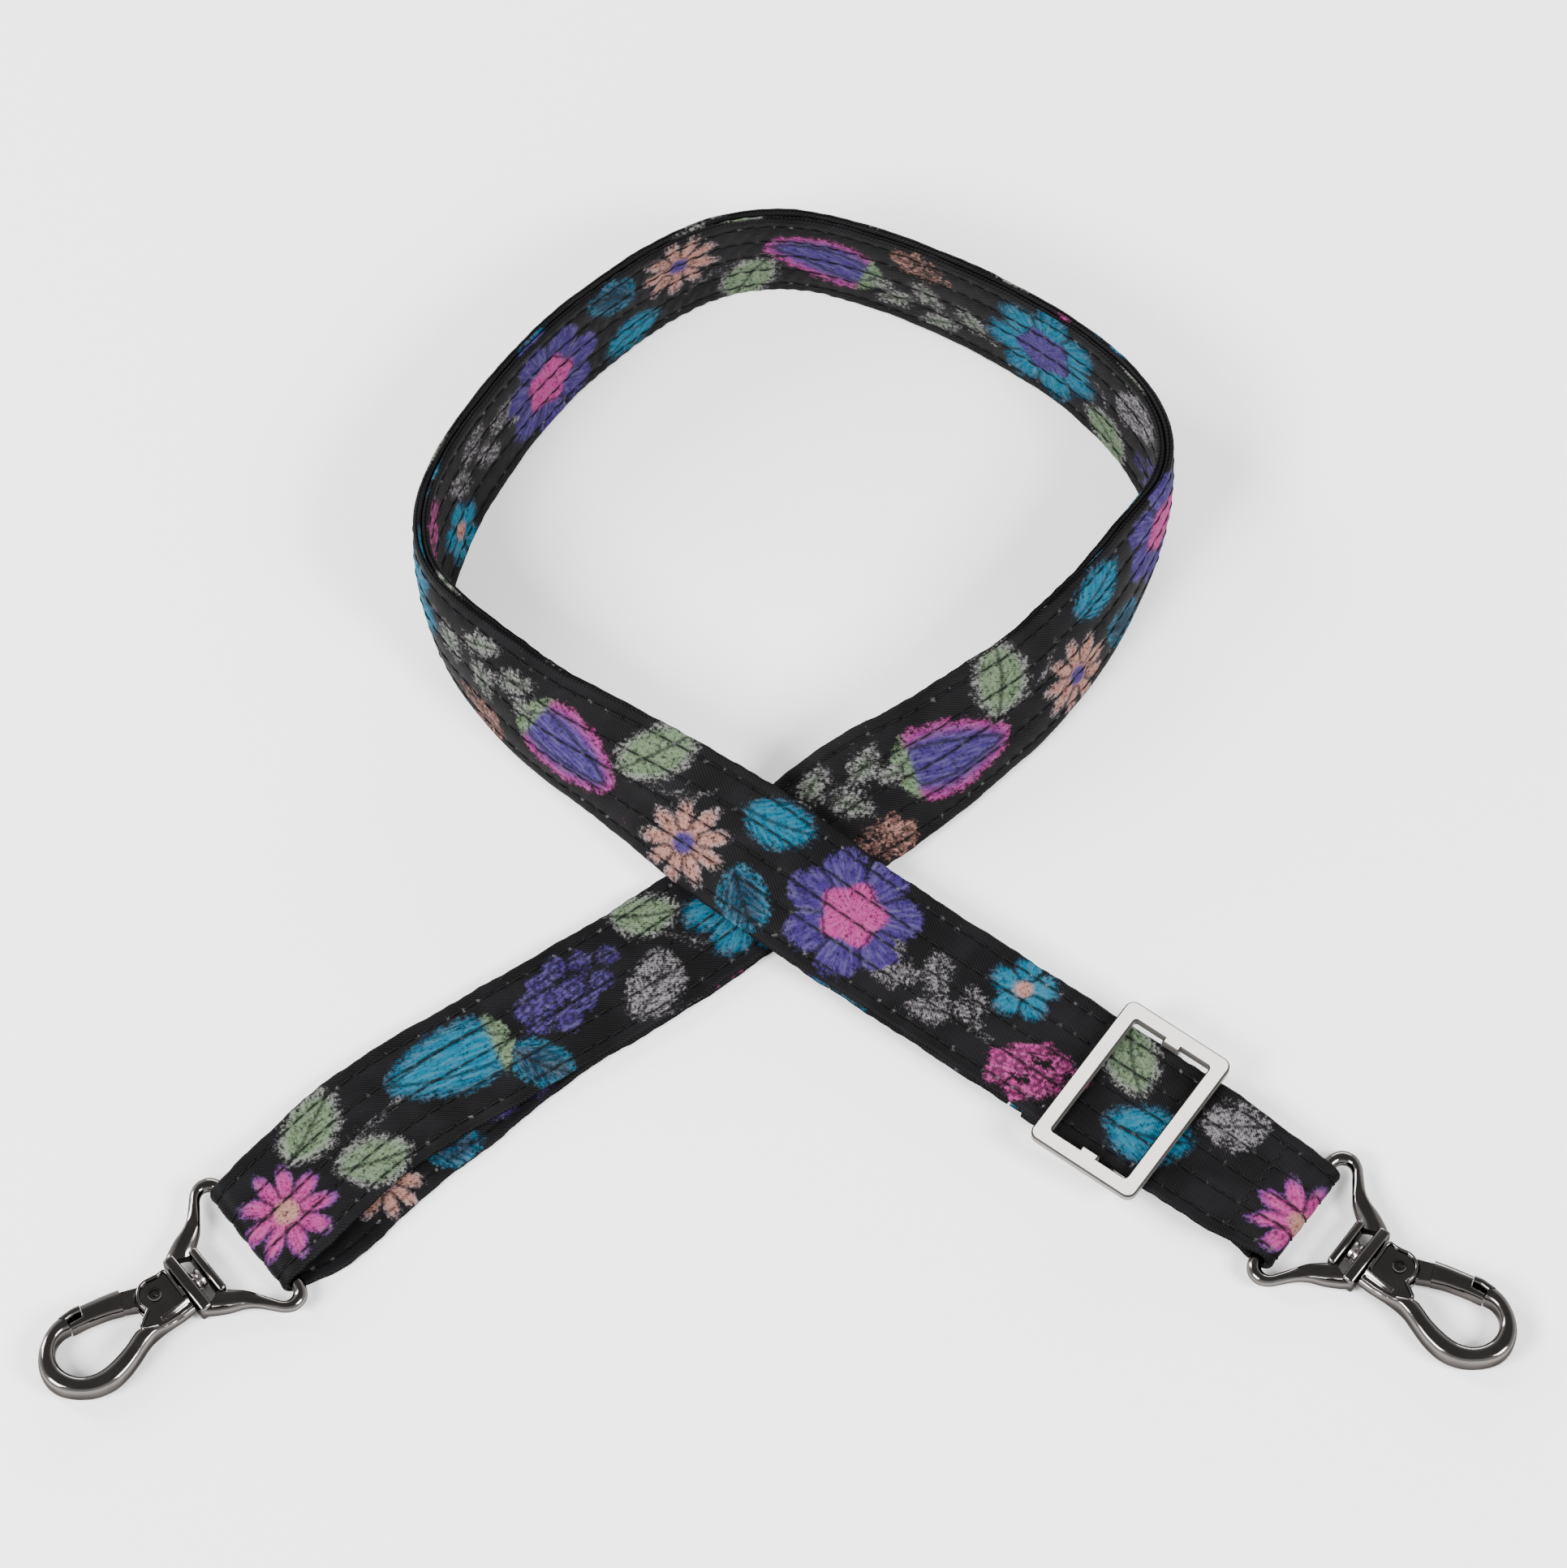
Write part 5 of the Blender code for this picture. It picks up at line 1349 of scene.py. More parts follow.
def band(
    bm: bmesh.types.BMesh,
    stations: Sequence[Sequence[float]],
    steps: int,
    round_steps: int = 28,
    level: float = 0.0,
) -> None:
    """Add a cast bar to a bmesh, as sections strung along pairs of edge points.

    Args:
        bm: The bmesh that the bar is added to.
        stations: Outer x and y, inner x and y, half height, squareness and sunken depth of each section.
        steps: Sections between two stations.
        round_steps: Points round each section.
        level: Height of the sections' middle.
    """
    rows = smooth_rows(np.array(stations, dtype=float), steps)
    outer, inner = rows[:, 0:2], rows[:, 2:4]
    middle = (outer + inner) / 2
    reach = (outer - inner) / 2
    half, square, sunk = rows[:, 4], rows[:, 5], rows[:, 6]

    def place(column: Array, row: Array) -> Array:
        """Points round each section, squarer at the walls than on top."""
        angle = column * (2 * math.pi / round_steps)
        crown = 2 + (square[row] - 2) * CROWN_SHARE
        wide = np.sign(np.cos(angle)) * np.abs(np.cos(angle)) ** (2 / crown)
        tall = np.sign(np.sin(angle)) * np.abs(np.sin(angle)) ** (2 / square[row])
        dish = sunk[row] * ease((DISH_SHARE - np.abs(wide)) / DISH_EASE_SHARE)
        xy = middle[row] + reach[row] * wide[:, None]
        height = half[row] * tall - np.sign(tall) * np.minimum(dish, np.abs(tall) * half[row])
        return np.stack([xy[:, 0], xy[:, 1], level + height], axis=1)

    take_mesh(bm, grid_piece("band", round_steps, len(rows) - 1, place))


def rail(
    bm: bmesh.types.BMesh,
    points: Sequence[tuple[float, float]],
    half_width: float,
    half_height: float,
    level: float,
) -> None:
    """Add a raised line to a bmesh, along a path at a level."""
    path = np.array(points)
    ahead = np.gradient(path, axis=0)
    ahead /= np.linalg.norm(ahead, axis=1)[:, None]
    side = np.stack([-ahead[:, 1], ahead[:, 0]], axis=1) * half_width
    extra = np.tile((half_height, 3.0, 0.0), (len(path), 1))
    band(bm, np.hstack([path + side, path - side, extra]), 3, 12, level)


def add_bmesh(bm: bmesh.types.BMesh, other: bmesh.types.BMesh) -> None:
    """Move a finished bmesh's shape into another."""
    mesh = bpy.data.meshes.new("shape")
    other.to_mesh(mesh)
    other.free()
    take_mesh(bm, mesh)


def round_edges(shape: bmesh.types.BMesh, edges: list[bmesh.types.BMEdge], radius: float) -> None:
    """Round edges of a bmesh to a radius."""
    bmesh.ops.bevel(
        shape,
        geom=edges,
        offset=radius,
        segments=3,
        affect="EDGES",
        profile=0.5,
        material=-1,
        clamp_overlap=True,
    )


def block(
    bm: bmesh.types.BMesh,
    low: Sequence[float],
    high: Sequence[float],
    bevel: float,
    matrix: Matrix | None = None,
) -> None:
    """Add a box with rounded edges to a bmesh, turned and placed by a matrix."""
    size = [b - a for a, b in zip(low, high)]
    middle = [(a + b) / 2 for a, b in zip(low, high)]
    shape = bmesh.new()
    bmesh.ops.create_cube(shape, size=1.0, matrix=Matrix.Translation(middle) @ Matrix.Diagonal((*size, 1.0)))
    round_edges(shape, shape.edges[:], bevel)
    if matrix:
        bmesh.ops.transform(shape, matrix=matrix, verts=shape.verts[:])
    add_bmesh(bm, shape)


def lathe(
    bm: bmesh.types.BMesh, profile: Sequence[tuple[float, float]], matrix: Matrix, sides: int = 32
) -> None:
    """Add a turned solid to a bmesh, from the radius and the height of each point of its profile."""
    shape = bmesh.new()
    verts = [shape.verts.new((radius, 0.0, height)) for radius, height in profile]
    edges = [shape.edges.new(pair) for pair in zip(verts, verts[1:])]
    bmesh.ops.spin(
        shape,
        geom=verts + edges,
        cent=(0, 0, 0),
        axis=(0, 0, 1),
        angle=2 * math.pi,
        steps=sides,
        use_merge=True,
    )
    merge(shape)
    bmesh.ops.recalc_face_normals(shape, faces=shape.faces[:])
    bmesh.ops.transform(shape, matrix=matrix, verts=shape.verts[:])
    add_bmesh(bm, shape)


def slab(
    bm: bmesh.types.BMesh, outline: Sequence[tuple[float, float]], low: float, high: float, bevel: float
) -> None:
    """Add a plate with rounded edges to a bmesh.

    Args:
        bm: The bmesh that the plate is added to.
        outline: Its corners, in order.
        low: Height of its lower face.
        high: Height of its upper face.
        bevel: Radius of its edges.
    """
    shape = bmesh.new()
    base = shape.faces.new([shape.verts.new((x, y, low)) for x, y in outline])
    grown = bmesh.ops.extrude_face_region(shape, geom=[base])
    top = [item for item in grown["geom"] if isinstance(item, bmesh.types.BMFace)][0]
    bmesh.ops.translate(shape, vec=(0, 0, high - low), verts=top.verts[:])
    rims = [edge for edge in shape.edges if abs(edge.verts[0].co.z - edge.verts[1].co.z) < 1e-9]
    round_edges(shape, rims, bevel)
    bmesh.ops.recalc_face_normals(shape, faces=shape.faces[:])
    add_bmesh(bm, shape)


@dataclass(frozen=True)
class ClipSizes:
    """Sizes of a swivel trigger clip, along X from its bar's axis, the same as its solids have."""

    bar_radius: float = 0.0013
    reach: float = 0.0172
    hub_half: float = 0.0062
    hub_thickness: float = 0.005
    inner_bar_half: float = 0.005
    inner_bar: float = 0.0017
    outer_bar: float = 0.0024
    hub_window: float = 0.0024
    hook_start: float = 0.0175
    hook_length: float = 0.0297
    hook_half: float = 0.0026
    recess: float = 0.0005
    shoulder: float = 0.0013
    rail: float = 0.0003
    cheek_edge: float = 0.00015
    core_edge: float = 0.00005
    core_overlap: float = 0.0001
    facet_half_length: float = 0.0031
    facet_half_width: float = 0.00115
    facet_depth: float = 0.0012
    facet_drop: float = 0.0006
    facet_edge: float = 0.00018
    plinth_half_length: float = 0.0024
    plinth_half_width: float = 0.0004
    plinth_depth: float = 0.0002
    plinth_height: float = 0.0001
    plinth_edge: float = 0.00008
    gate_half: float = 0.0022
    gate_clearance: float = 0.00025
    neck_half: float = 0.0015
    neck_edge: float = 0.0002
    web_overlap: float = 0.0004
    web_edge: float = 0.0001
    tongue_half: float = 0.0008
    slot_half: float = 0.0011
    slot_radius: float = 0.00265
    knuckle: float = 0.0017
    pin_radius: float = 0.0008
    pin_head: float = 0.00128
    pin_head_depth: float = 0.0007
    pin_ring: float = 0.00015
    rivet_radius: float = 0.0012
    rivet_head: float = 0.0021
    rivet_head_thickness: float = 0.0009
    rivet_depth: float = 0.0012
    rivet_gap: float = 0.0003
    rivet_edge: float = 0.0002
    washer: float = 0.002
    washer_thickness: float = 0.0005


class Clip:
    """One swivel trigger clip: ring, swivel, hook, gate and pin."""

    # Stations of the ring's half at +Y, from the middle of its bar to the hub, in millimetres:
    # outer x and y, inner x and y, half height, squareness, sunken depth
    RING = (
        (-1.30, 0.0, 1.30, 0.0, 1.30, 2.0, 0.0),
        (-1.30, 9.0, 1.30, 9.0, 1.30, 2.0, 0.0),
        (-1.10, 12.6, 1.35, 11.7, 1.30, 2.0, 0.0),
        (0.30, 14.9, 2.00, 12.8, 1.30, 2.0, 0.0),
        (2.70, 15.6, 3.20, 13.1, 1.30, 2.0, 0.0),
        (4.90, 14.7, 4.25, 12.5, 1.30, 2.1, 0.0),
        (6.60, 12.9, 5.20, 11.2, 1.32, 2.3, 0.0),
        (8.50, 10.8, 6.60, 9.20, 1.40, 2.7, 0.10),
        (10.4, 9.55, 7.90, 7.40, 1.50, 3.4, 0.30),
        (12.8, 8.60, 9.50, 5.95, 1.60, 4.2, 0.50),
        (15.2, 7.30, 10.9, 4.90, 1.70, 5.0, 0.60),
        (16.9, 6.10, 11.6, 4.00, 1.75, 5.0, 0.60),
    )
    # Stations of the hook from the hub along its spine and round its nose to the gate's seam,
    # as shares of its length: outer x and y, inner x and y
    HOOK = (
        (0.004, -0.158, 0.004, -0.098),
        (0.080, -0.163, 0.080, -0.104),
        (0.150, -0.161, 0.156, -0.106),
        (0.215, -0.156, 0.226, -0.098),
        (0.285, -0.156, 0.305, -0.074),
        (0.340, -0.168, 0.362, -0.058),
        (0.385, -0.184, 0.410, -0.070),
        (0.462, -0.216, 0.492, -0.102),
        (0.560, -0.249, 0.596, -0.127),
        (0.672, -0.264, 0.694, -0.135),
        (0.795, -0.238, 0.766, -0.120),
        (0.899, -0.172, 0.818, -0.088),
        (0.974, -0.084, 0.856, -0.034),
        (1.000, 0.010, 0.872, 0.030),
        (0.981, 0.106, 0.860, 0.098),
        (0.924, 0.188, 0.826, 0.150),
        (0.847, 0.248, 0.783, 0.181),
        (0.762, 0.285, 0.731, 0.194),
        (0.664, 0.299, 0.683, 0.188),
    )
    LIP = ((0.700, 0.297, 0.680, 0.238), (0.615, 0.299, 0.612, 0.242), (0.553, 0.290, 0.570, 0.234))
    GATE = (
        (0.300, 0.233, 0.360, 0.091),
        (0.350, 0.246, 0.405, 0.109),
        (0.407, 0.260, 0.455, 0.127),
        (0.5495, 0.2888, 0.586, 0.161),
    )
    TONGUE = ((0.500, 0.224, 0.530, 0.150), (0.580, 0.228, 0.600, 0.165), (0.665, 0.231, 0.679, 0.178))
    SPINE_SIDE = (
        (0.004, -0.140), (0.100, -0.146), (0.200, -0.140), (0.300, -0.122), (0.345, -0.092), (0.336, -0.048),
        (0.290, -0.017),
    )
    GATE_SIDE = ((0.067, 0.160), (0.004, 0.158))
    HUB_RAIL = ((0.014, -0.060), (0.014, 0.040), (0.015, 0.146), (0.067, 0.149))
    EYE_RAIL = ((0.284, -0.026), (0.328, -0.056), (0.334, -0.084), (0.300, -0.108))
    NECK = ((0.385, 0.114), (0.335, 0.222))
    PIN = (0.152, 0.057)
    CHEEK = 0.1145
    FACET = (0.107, -0.118)
    FACET_LEAN = -2.0
    FACET_TILT = 33.0
    # Squareness of the hook's walls; where the low shoulder by the hub ends, as shares of the length
    SQUARENESS = 3.8
    SHOULDER_END_SHARE = 0.26
    SHOULDER_EASE_SHARE = 0.08
    # Sections between two stations and points round each section, on long bars and on short ones
    BAR_STEPS = (5, 36)
    GATE_STEPS = (6, 36)
    SHORT_STEPS = (4, 28)
    # Angles round the gate's pin, in degrees: the cheek's edge, the slot, the end of the slot's core,
    # the rail, the gate's neck, its knuckle and the web between the two
    CHEEK_ARC = (-32, 98)
    SLOT_ARC = (-26, -280)
    CORE_ARC = (80, 98)
    RAIL_ARC = (97, -31)
    NECK_ARC = (66, 0)
    KNUCKLE_ARC = (65, 360)
    WEB_ARC = (4, 61)
    # Rings of the pin's head as shares of its radius, and how many edges deep its groove is
    PIN_RINGS = (0.3, 0.42, 0.58, 0.7)
    PIN_GROOVE = 2.5
    # Heights of the lip and of the tongue, as shares of the bars that they lie on
    LIP_SHARE = 0.99
    TONGUE_SHARE = 0.96

    def __init__(self, side: str, frame: dict, sizes: ClipSizes) -> None:
        """Find the clip's own axes from its joints.

        Args:
            side: "left" or "right".
            sizes: The clip's sizes.
        """
        joints = {joint["name"]: joint for joint in frame["joints"]}
        self.side = side
        self.sizes = sizes
        ahead = Vector(joints[f"{side}_swivel"]["axis"]).normalized()
        across = Vector(joints[f"{side}_ring_tilt"]["axis"]).normalized()
        up = ahead.cross(across)
        turn = Matrix((ahead, across, up)).transposed().to_4x4()
        self.matrix = Matrix.Translation(joints[f"{side}_ring_tilt"]["pos_m"]) @ turn

    def piece(self, name: str, bm: bmesh.types.BMesh, finish: bpy.types.Material, body: str) -> None:
        """Place a bmesh that was built in the clip's own axes, and hang it on its body."""
        bmesh.ops.recalc_face_normals(bm, faces=bm.faces[:])
        bmesh.ops.transform(bm, matrix=self.matrix, verts=bm.verts[:])
        node = f"{self.side}_{name}"
        made = finish_piece(f"{node}_cast", bm, finish, [node], sharp=38.0)
        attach(made, f"{self.side}_{body}")

    def at(self, x: float, y: float) -> tuple[float, float]:
        """A place on the hook from shares of its length."""
        return self.sizes.hook_start + x * self.sizes.hook_length, y * self.sizes.hook_length

    def on_hook(
        self, stations: Sequence[Sequence[float]], half: float, shoulder: float = 0.0
    ) -> list[tuple[float, ...]]:
        """Stations from shares of the hook's length, of one height, lower by the hub's shoulder."""
        made = []
        for a, b, c, d in stations:
            low = shoulder * float(ease((self.SHOULDER_END_SHARE - a) / self.SHOULDER_EASE_SHARE))
            made.append((*self.at(a, b), *self.at(c, d), half - low, self.SQUARENESS, 0.0))
        return made

    def arc(self, radius: float, start: float, end: float, steps: int = 12) -> list[tuple[float, float]]:
        """Points round the gate's pin, from one angle to another in degrees."""
        x, y = self.at(*self.PIN)
        angles = np.radians(np.linspace(start, end, steps + 1))
        return [(x + radius * math.cos(a), y + radius * math.sin(a)) for a in angles]

    def hub_places(self) -> tuple[float, float, float, float]:
        """Where the hub's inner bar starts and ends and its outer bar starts and ends."""
        sizes = self.sizes
        outer_start = sizes.reach - sizes.outer_bar
        inner_end = outer_start - sizes.hub_window
        return inner_end - sizes.inner_bar, inner_end, outer_start, sizes.reach

    def make_ring(self, finish: bpy.types.Material) -> None:
        """The ring that the webbing goes round, with the two bars of its swivel hub."""
        sizes = self.sizes
        stations = [
            (a / 1000, b / 1000, c / 1000, d / 1000, half / 1000, square, sunk / 1000)
            for a, b, c, d, half, square, sunk in self.RING
        ]
        bm = bmesh.new()
        band(bm, stations, 5)
        merge(bm)
        ends = [edge for edge in bm.edges if edge.is_boundary and edge.verts[0].co.y > sizes.bar_radius]
        bmesh.ops.holes_fill(bm, edges=ends, sides=0)
        bmesh.ops.mirror(bm, geom=bm.verts[:] + bm.edges[:] + bm.faces[:], axis="Y", merge_dist=1e-6)
        inner_start, inner_end, outer_start, outer_end = self.hub_places()
        half = sizes.hub_thickness / 2
        bevel = sizes.inner_bar / 3
        block(bm, (inner_start, -sizes.inner_bar_half, -half), (inner_end, sizes.inner_bar_half, half), bevel)
        block(bm, (outer_start, -sizes.hub_half, -half), (outer_end, sizes.hub_half, half), bevel)
        self.piece("swivel_ring", bm, finish, "ring")

    def make_swivel(self, finish: bpy.types.Material) -> None:
        """The rivet that holds the hook to the hub, and its washer."""
        sizes = self.sizes
        _, _, outer_start, _ = self.hub_places()
        along = Matrix.Rotation(math.pi / 2, 4, "Y")
        end = outer_start - sizes.rivet_gap
        start = end - sizes.washer_thickness
        head_end = start - sizes.rivet_gap
        head_start = head_end - sizes.rivet_head_thickness
        foot = sizes.hook_start + sizes.rivet_depth
        edge = sizes.rivet_edge
        bm = bmesh.new()
        profile = (
            (0.0, head_start), (sizes.rivet_head - edge * 2, head_start),
            (sizes.rivet_head, head_start + edge), (sizes.rivet_head, head_end - edge),
            (sizes.rivet_head - edge, head_end), (sizes.rivet_radius, head_end),
            (sizes.rivet_radius, foot), (0.0, foot),
        )
        lathe(bm, profile, along)
        self.piece("swivel_rivet", bm, finish, "hook")
        bm = bmesh.new()
        hole = sizes.rivet_radius + sizes.rivet_gap
        profile = (
            (hole, start), (sizes.washer - edge, start), (sizes.washer, start + edge),
            (sizes.washer, end), (hole, end), (hole, start),
        )
        lathe(bm, profile, along)
        self.piece("swivel_washer", bm, finish, "hook")

    def make_hook(self, finish: bpy.types.Material) -> None:
        """The hook: a forked base with sunk faces inside raised rails, and the bar round to its nose."""
        sizes = self.sizes
        bm = bmesh.new()
        band(bm, self.on_hook(self.HOOK, sizes.hook_half, sizes.shoulder), *self.BAR_STEPS)
        band(bm, self.on_hook(self.LIP, sizes.hook_half * self.LIP_SHARE), *self.SHORT_STEPS)
        close_seam(bm)
        start, length = sizes.hook_start, sizes.hook_length
        spine_side = [self.at(*point) for point in self.SPINE_SIDE]
        gate_side = [self.at(*point) for point in self.GATE_SIDE]
        radius = self.CHEEK * length
        cheek = spine_side + self.arc(radius, *self.CHEEK_ARC) + gate_side
        floor = sizes.hook_half - sizes.recess
        core = spine_side + self.arc(sizes.slot_radius, *self.SLOT_ARC, steps=16)
        core += self.arc(radius, *self.CORE_ARC, steps=2) + gate_side
        reach = sizes.slot_half + sizes.core_overlap
        slab(bm, core, -reach, reach, sizes.core_edge)
        half_rail = sizes.rail / 2
        edge = [self.at(*point) for point in self.HUB_RAIL]
        edge += self.arc(radius - sizes.rail, *self.RAIL_ARC, steps=16)
        edge += [self.at(*point) for point in self.EYE_RAIL]
        for side in (-1, 1):
            low, high = sorted((side * sizes.slot_half, side * floor))
            slab(bm, cheek, low, high, sizes.cheek_edge)
            level = side * (floor + sizes.recess / 2 - half_rail)
            rail(bm, edge, sizes.rail, sizes.recess / 2 + half_rail, level)
            self.facet(bm, side)
        self.piece("hook_body", bm, finish, "hook")

    def facet(self, bm: bmesh.types.BMesh, side: int) -> None:
        """Add the leaning facet beside the spine, with its low plinth, to one face of the hook."""
        sizes = self.sizes
        place = Matrix.Translation((*self.at(*self.FACET), side * (sizes.hook_half - sizes.facet_drop)))
        lean = Matrix.Rotation(math.radians(self.FACET_LEAN), 4, "Z")
        tilt = Matrix.Rotation(math.radians(side * self.FACET_TILT), 4, "X")
        for length, width, depth, height, edge in (
            (sizes.facet_half_length, sizes.facet_half_width, sizes.facet_depth, 0.0, sizes.facet_edge),
            (
                sizes.plinth_half_length, sizes.plinth_half_width, sizes.plinth_depth, sizes.plinth_height,
                sizes.plinth_edge,
            ),
        ):
            low, high = sorted((-side * depth, side * height))
            block(bm, (-length, -width, low), (length, width, high), edge, place @ lean @ tilt)

    def make_gate(self, finish: bpy.types.Material) -> None:
        """The gate: its bar, low neck, knuckle on the pin and the tongue that closes under the nose."""
        sizes = self.sizes
        bm = bmesh.new()
        band(bm, self.on_hook(self.GATE, sizes.gate_half), *self.GATE_STEPS)
        band(bm, self.on_hook(self.TONGUE, sizes.gate_half * self.TONGUE_SHARE), *self.SHORT_STEPS)
        close_seam(bm)
        clear = self.CHEEK * sizes.hook_length + sizes.gate_clearance
        neck = self.arc(clear, *self.NECK_ARC) + [self.at(*point) for point in self.NECK]
        slab(bm, neck, -sizes.neck_half, sizes.neck_half, sizes.neck_edge)
        web = self.arc(sizes.knuckle, *self.KNUCKLE_ARC)
        web += self.arc(clear + sizes.web_overlap, *self.WEB_ARC, steps=5)
        slab(bm, web, -sizes.tongue_half, sizes.tongue_half, sizes.web_edge)
        self.piece("gate", bm, finish, "gate")

    def make_pin(self, finish: bpy.types.Material) -> None:
        """The gate's pin, with a ringed head on each face."""
        sizes = self.sizes
        top = sizes.hook_half
        head = sizes.pin_head
        step = sizes.pin_ring
        foot = top - sizes.pin_head_depth
        groove = top - self.PIN_GROOVE * step
        rings = [head * share for share in self.PIN_RINGS]
        half = [
            (0.0, top - step), (rings[0], top - step), (rings[1], groove), (rings[2], groove),
            (rings[3], top), (head - step, top), (head, top - step), (head, foot), (sizes.pin_radius, foot),
        ]
        profile = half + [(radius, -height) for radius, height in reversed(half)]
        bm = bmesh.new()
        lathe(bm, profile, Matrix.Translation((*self.at(*self.PIN), 0.0)))
        self.piece("gate_pin", bm, finish, "hook")

    def make(self, finish: bpy.types.Material, turned: bpy.types.Material) -> None:
        """Build every piece of the clip, with the swivel's turned pieces in a finish of their own."""
        self.make_ring(finish)
        self.make_swivel(turned)
        self.make_hook(finish)
        self.make_gate(finish)
        self.make_pin(finish)


@dataclass(frozen=True)
class Slider:
    """The slider: a flat frame over the webbing, with a middle bar dropped below it."""

    length: float = 0.0226
    rail: float = 0.0031
    cheek: float = 0.0031
    half_window: float = 0.0135
    lug_half: float = 0.0018
    lug_reach: float = 0.0009
    plate: float = 0.002
    corner: float = 0.0018
    chamfer: float = 0.0003
    wall_shade: float = 0.7
    bar_length: float = 0.003
    bar_thickness: float = 0.0016
    bar_edge: float = 0.00045
    arm: float = 0.0015
    gap: float = 0.0003

    CORNER_STEPS = 6
    # Faces flatter than the first slope get no painted shade, those flatter than the second are chamfers
    # painted in full shade, and steeper walls get the wall share of painted shade
    FLAT_SLOPE = 0.95
    CHAMFER_SLOPE = 0.3

    def outline(
        self, half_x: float, half_y: float, radius: float, lug: Sequence[tuple[float, float]]
    ) -> Array:
        """A rectangle with round corners and a lug in the middle of its two short sides.

        Args:
            half_x: Half its length.
            half_y: Half its width.
            radius: Radius of its corners.
            lug: Points of the side at +Y between two corners, from +X to -X.

        Returns:
            The points, anticlockwise, the first once more at the end.
        """
        points = []
        for sign_x, sign_y, start in ((1, 1, 0), (-1, 1, 90), (-1, -1, 180), (1, -1, 270)):
            for step in range(self.CORNER_STEPS + 1):
                angle = math.radians(start + 90 / self.CORNER_STEPS * step)
                x = sign_x * (half_x - radius) + radius * math.cos(angle)
                points.append((x, sign_y * (half_y - radius) + radius * math.sin(angle)))
            if start % 180 == 0:
                points += [(x * sign_x, y * sign_y) for x, y in lug]
        return np.array(points + points[:1])

    def rim(self, inset: float) -> Array:
        """The plate's outline, moved inwards."""
        half_y = self.half_window + self.cheek - inset
        near, far = self.lug_half * 2 / 3, self.lug_half / 3
        lug = [(near, half_y), (far, half_y), (-far, half_y), (-near, half_y)]
        return self.outline(self.length / 2 - inset, half_y, self.corner - inset, lug)

    def window(self, inset: float) -> Array:
        """The window's outline with its lugs, moved into the metal."""
        half_y = self.half_window + inset
        side, tip = self.lug_half - inset, half_y - self.lug_reach
        lug = [(side, half_y), (side, tip), (-side, tip), (-side, half_y)]
        return self.outline(self.length / 2 - self.rail + inset, half_y, self.corner / 3 + inset, lug)

    def make(self, frame: dict, finish: bpy.types.Material) -> None:
        """Build the slider where its solid is."""
        low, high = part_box("slider_frame")
        axis = next(joint["axis"] for joint in frame["joints"] if joint["name"] == "slider_slide")
        turn = Matrix.Rotation(math.atan2(axis[1], axis[0]), 4, "Z")
        middle = Matrix.Translation(((low.x + high.x) / 2, (low.y + high.y) / 2, 0.0)) @ turn
        top = high.z
        bottom = top - self.plate
        edge = self.chamfer
        section = (
            (self.rim(edge), top), (self.rim(0.0), top - edge), (self.rim(0.0), bottom + edge),
            (self.rim(edge), bottom), (self.window(edge), bottom), (self.window(0.0), bottom + edge),
            (self.window(0.0), top - edge), (self.window(edge), top), (self.rim(edge), top),
        )
        loops = np.array([np.insert(points, 2, height, axis=1) for points, height in section])

        def place(column: Array, row: Array) -> Array:
            """Points round the frame."""
            return loops[column, row]

        bm = bmesh.new()
        take_mesh(bm, grid_piece("slider", len(section) - 1, loops.shape[1] - 1, place))
        merge(bm)
        bmesh.ops.recalc_face_normals(bm, faces=bm.faces[:])
        # Painted shade and painted dark reflection: chamfers take the full dark edge colour, walls the wall
        # share of it, flat faces none
        layer = bm.faces.layers.float.new("chamfer")
        for face in bm.faces:
            slope = abs(face.normal.z)
            shade = 1.0 if slope > self.CHAMFER_SLOPE else self.wall_shade
            face[layer] = 0.0 if slope > self.FLAT_SLOPE else shade
        inner = self.half_window - self.gap
        half = self.bar_length / 2
        for side in (-1, 1):
            ends = sorted((side * inner, side * (inner + self.arm)))
            block(bm, (-half, ends[0], low.z), (half, ends[1], bottom + self.plate / 2), edge)
        reach = inner + self.arm / 2
        block(bm, (-half, -reach, low.z), (half, reach, low.z + self.bar_thickness), self.bar_edge)
        bmesh.ops.transform(bm, matrix=middle, verts=bm.verts[:])
        made = finish_piece("slider_plate", bm, finish, ["slider_frame"], sharp=30.0)
        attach(made, "slider")


class Sky(Shader):
    """The studio's surroundings: bright walls and a darker ceiling."""

    def __init__(self, walls: float, ceiling: float) -> None:
        """Make the world.

        Args:
            walls: Brightness near the horizon.
            ceiling: Brightness overhead.
        """
        world = bpy.data.worlds.new("studio_surroundings")
        world.use_nodes = True
        bpy.context.scene.world = world
        self.tree = world.node_tree
        direction = self.node("ShaderNodeTexCoord", {}, {}, "Generated")
        strength = walls + (ceiling - walls) * self.part(direction, 2).smooth(0.4, 0.86)
        background = self.tree.nodes["Background"]
        background.inputs["Color"].default_value = (1.0, 1.0, 1.0, 1.0)
        self.tree.links.new(strength.socket, background.inputs["Strength"])


@dataclass(frozen=True)
class Softbox:
    """A soft rectangular light that faces the object."""

    name: str
    direction: tuple[float, float, float]
    distance: float
    size: tuple[float, float]
    power: float

    def make(self) -> None:
        """Hang the light."""
        data = bpy.data.lights.new(self.name, "AREA")
        data.shape = "RECTANGLE"
        data.size, data.size_y = self.size
        data.energy = self.power
        made = bpy.data.objects.new(self.name, data)
        bpy.context.scene.collection.objects.link(made)
        place = Vector(self.direction).normalized()
        made.location = place * self.distance
        made.rotation_euler = (-place).to_track_quat("-Z", "Y").to_euler()


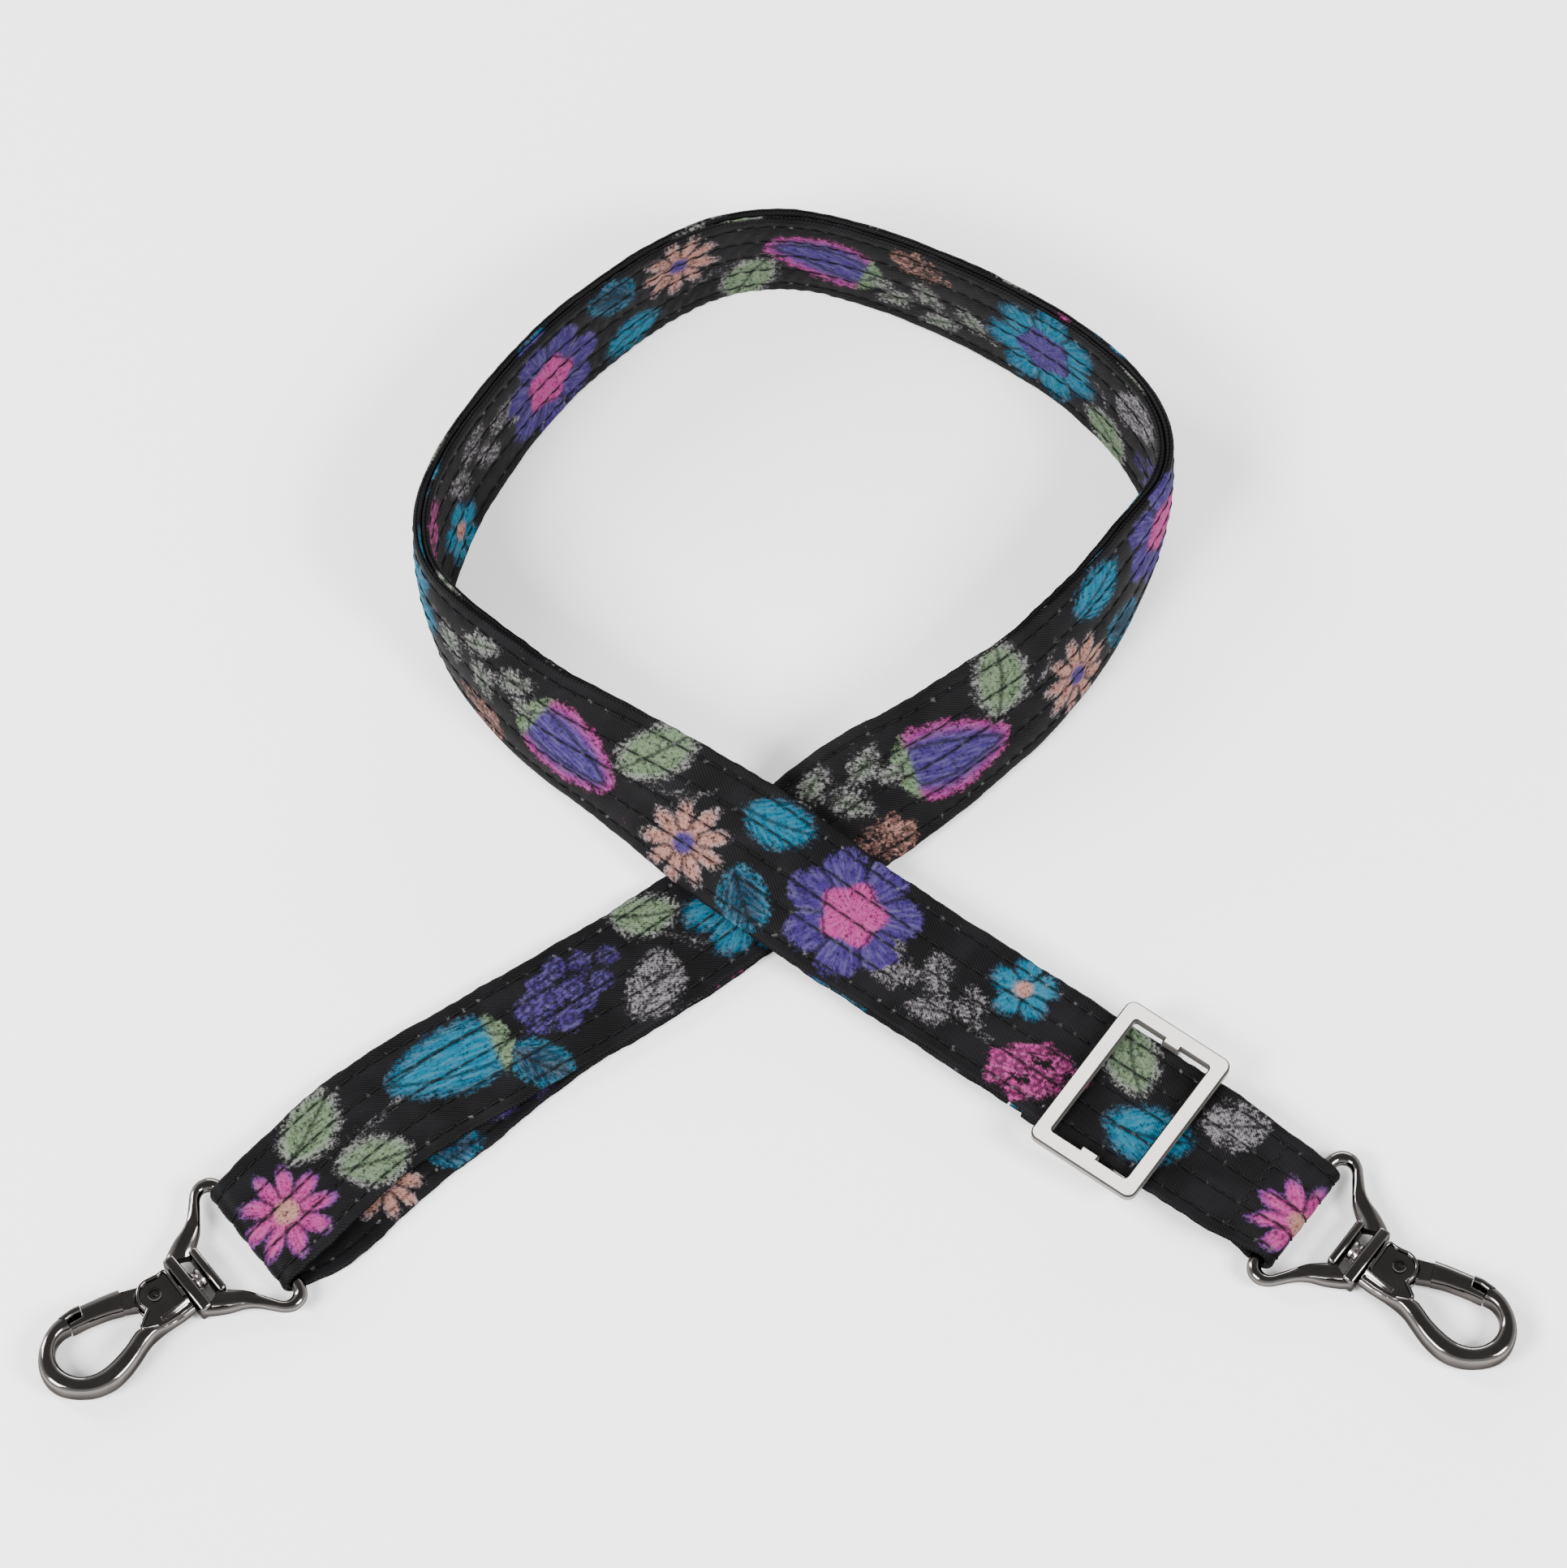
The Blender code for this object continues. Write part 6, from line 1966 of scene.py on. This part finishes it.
@dataclass(frozen=True)
class Studio:
    """Pale floor, soft lights and the camera at the photograph's angle."""

    image_size: tuple[int, int] = (1931, 1932)
    focal_pixels: float = 9930.0
    elevation: float = 64.0
    distance: float = 1.5
    walls: float = 1.5
    ceiling: float = 0.28
    floor_colour: tuple[float, float, float] = (0.93, 0.93, 0.93)
    softboxes: tuple[Softbox, ...] = (
        Softbox("front_softbox", (-0.6, -0.42, 0.68), 1.5, (0.6, 0.6), 45.0),
        Softbox("right_softbox", (0.64, -0.37, 0.67), 1.45, (0.5, 0.5), 36.0),
        Softbox("left_softbox", (-0.78, 0.42, 0.5), 1.35, (0.25, 0.9), 22.0),
        Softbox("back_softbox", (0.1, 0.93, 0.36), 1.4, (1.0, 0.2), 14.0),
    )

    def camera(self, target: Vector) -> None:
        """The camera, looking along +Y and down at the target."""
        data = bpy.data.cameras.new("camera")
        data.sensor_width = 36.0
        data.lens = self.focal_pixels / max(self.image_size) * data.sensor_width
        data.clip_start = 0.05
        made = bpy.data.objects.new("camera", data)
        bpy.context.scene.collection.objects.link(made)
        tilt = math.radians(self.elevation)
        back = Vector((0.0, -math.cos(tilt), math.sin(tilt)))
        made.location = target + back * self.distance
        made.rotation_euler = (math.pi / 2 - tilt, 0.0, 0.0)
        bpy.context.scene.camera = made

    def make(self, target: Vector) -> None:
        """Set the whole studio up."""
        self.camera(target)
        shader = Shader("studio_floor")
        cloud = shader.noise(shader.object_place(), 3.0)
        colour = shader.mix(cloud * 0.1, (*self.floor_colour, 1), (0.9, 0.9, 0.9, 1))
        surface = shader.dress(Base_Color=colour, Roughness=0.9)
        bm = bmesh.new()
        bmesh.ops.create_grid(bm, x_segments=8, y_segments=8, size=3.0)
        mesh = bpy.data.meshes.new("studio_floor")
        bm.to_mesh(mesh)
        bm.free()
        mesh.materials.append(surface)
        floor = bpy.data.objects.new("studio_floor", mesh)
        bpy.context.scene.collection.objects.link(floor)
        Sky(self.walls, self.ceiling)
        for softbox in self.softboxes:
            softbox.make()


def main() -> None:
    """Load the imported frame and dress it."""
    logging.basicConfig(level=logging.INFO, format="%(name)s: %(message)s")
    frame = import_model()
    cloth = QuiltedTwill().material()
    thread = SewingThread().material()
    gunmetal = GUNMETAL.material()
    nickel = LIGHT_NICKEL.material()
    steel = SPRING_STEEL.material()
    turned = TURNED_STEEL.material()
    maker = StrapMaker(Webbing())
    Studio().make(Vector((maker.route.shift[0], maker.route.shift[1], 0.0)))
    maker.make(cloth, thread)
    Slider().make(frame, nickel)
    for side in ("left", "right"):
        Clip(side, frame, ClipSizes()).make(gunmetal, turned)
        spring = frame["nodes"][f"{side}_gate_spring"]
        spring.data.materials.clear()
        spring.data.materials.append(steel)
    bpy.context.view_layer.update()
    LOG.info("boxes written")


if __name__ == "__main__":
    main()
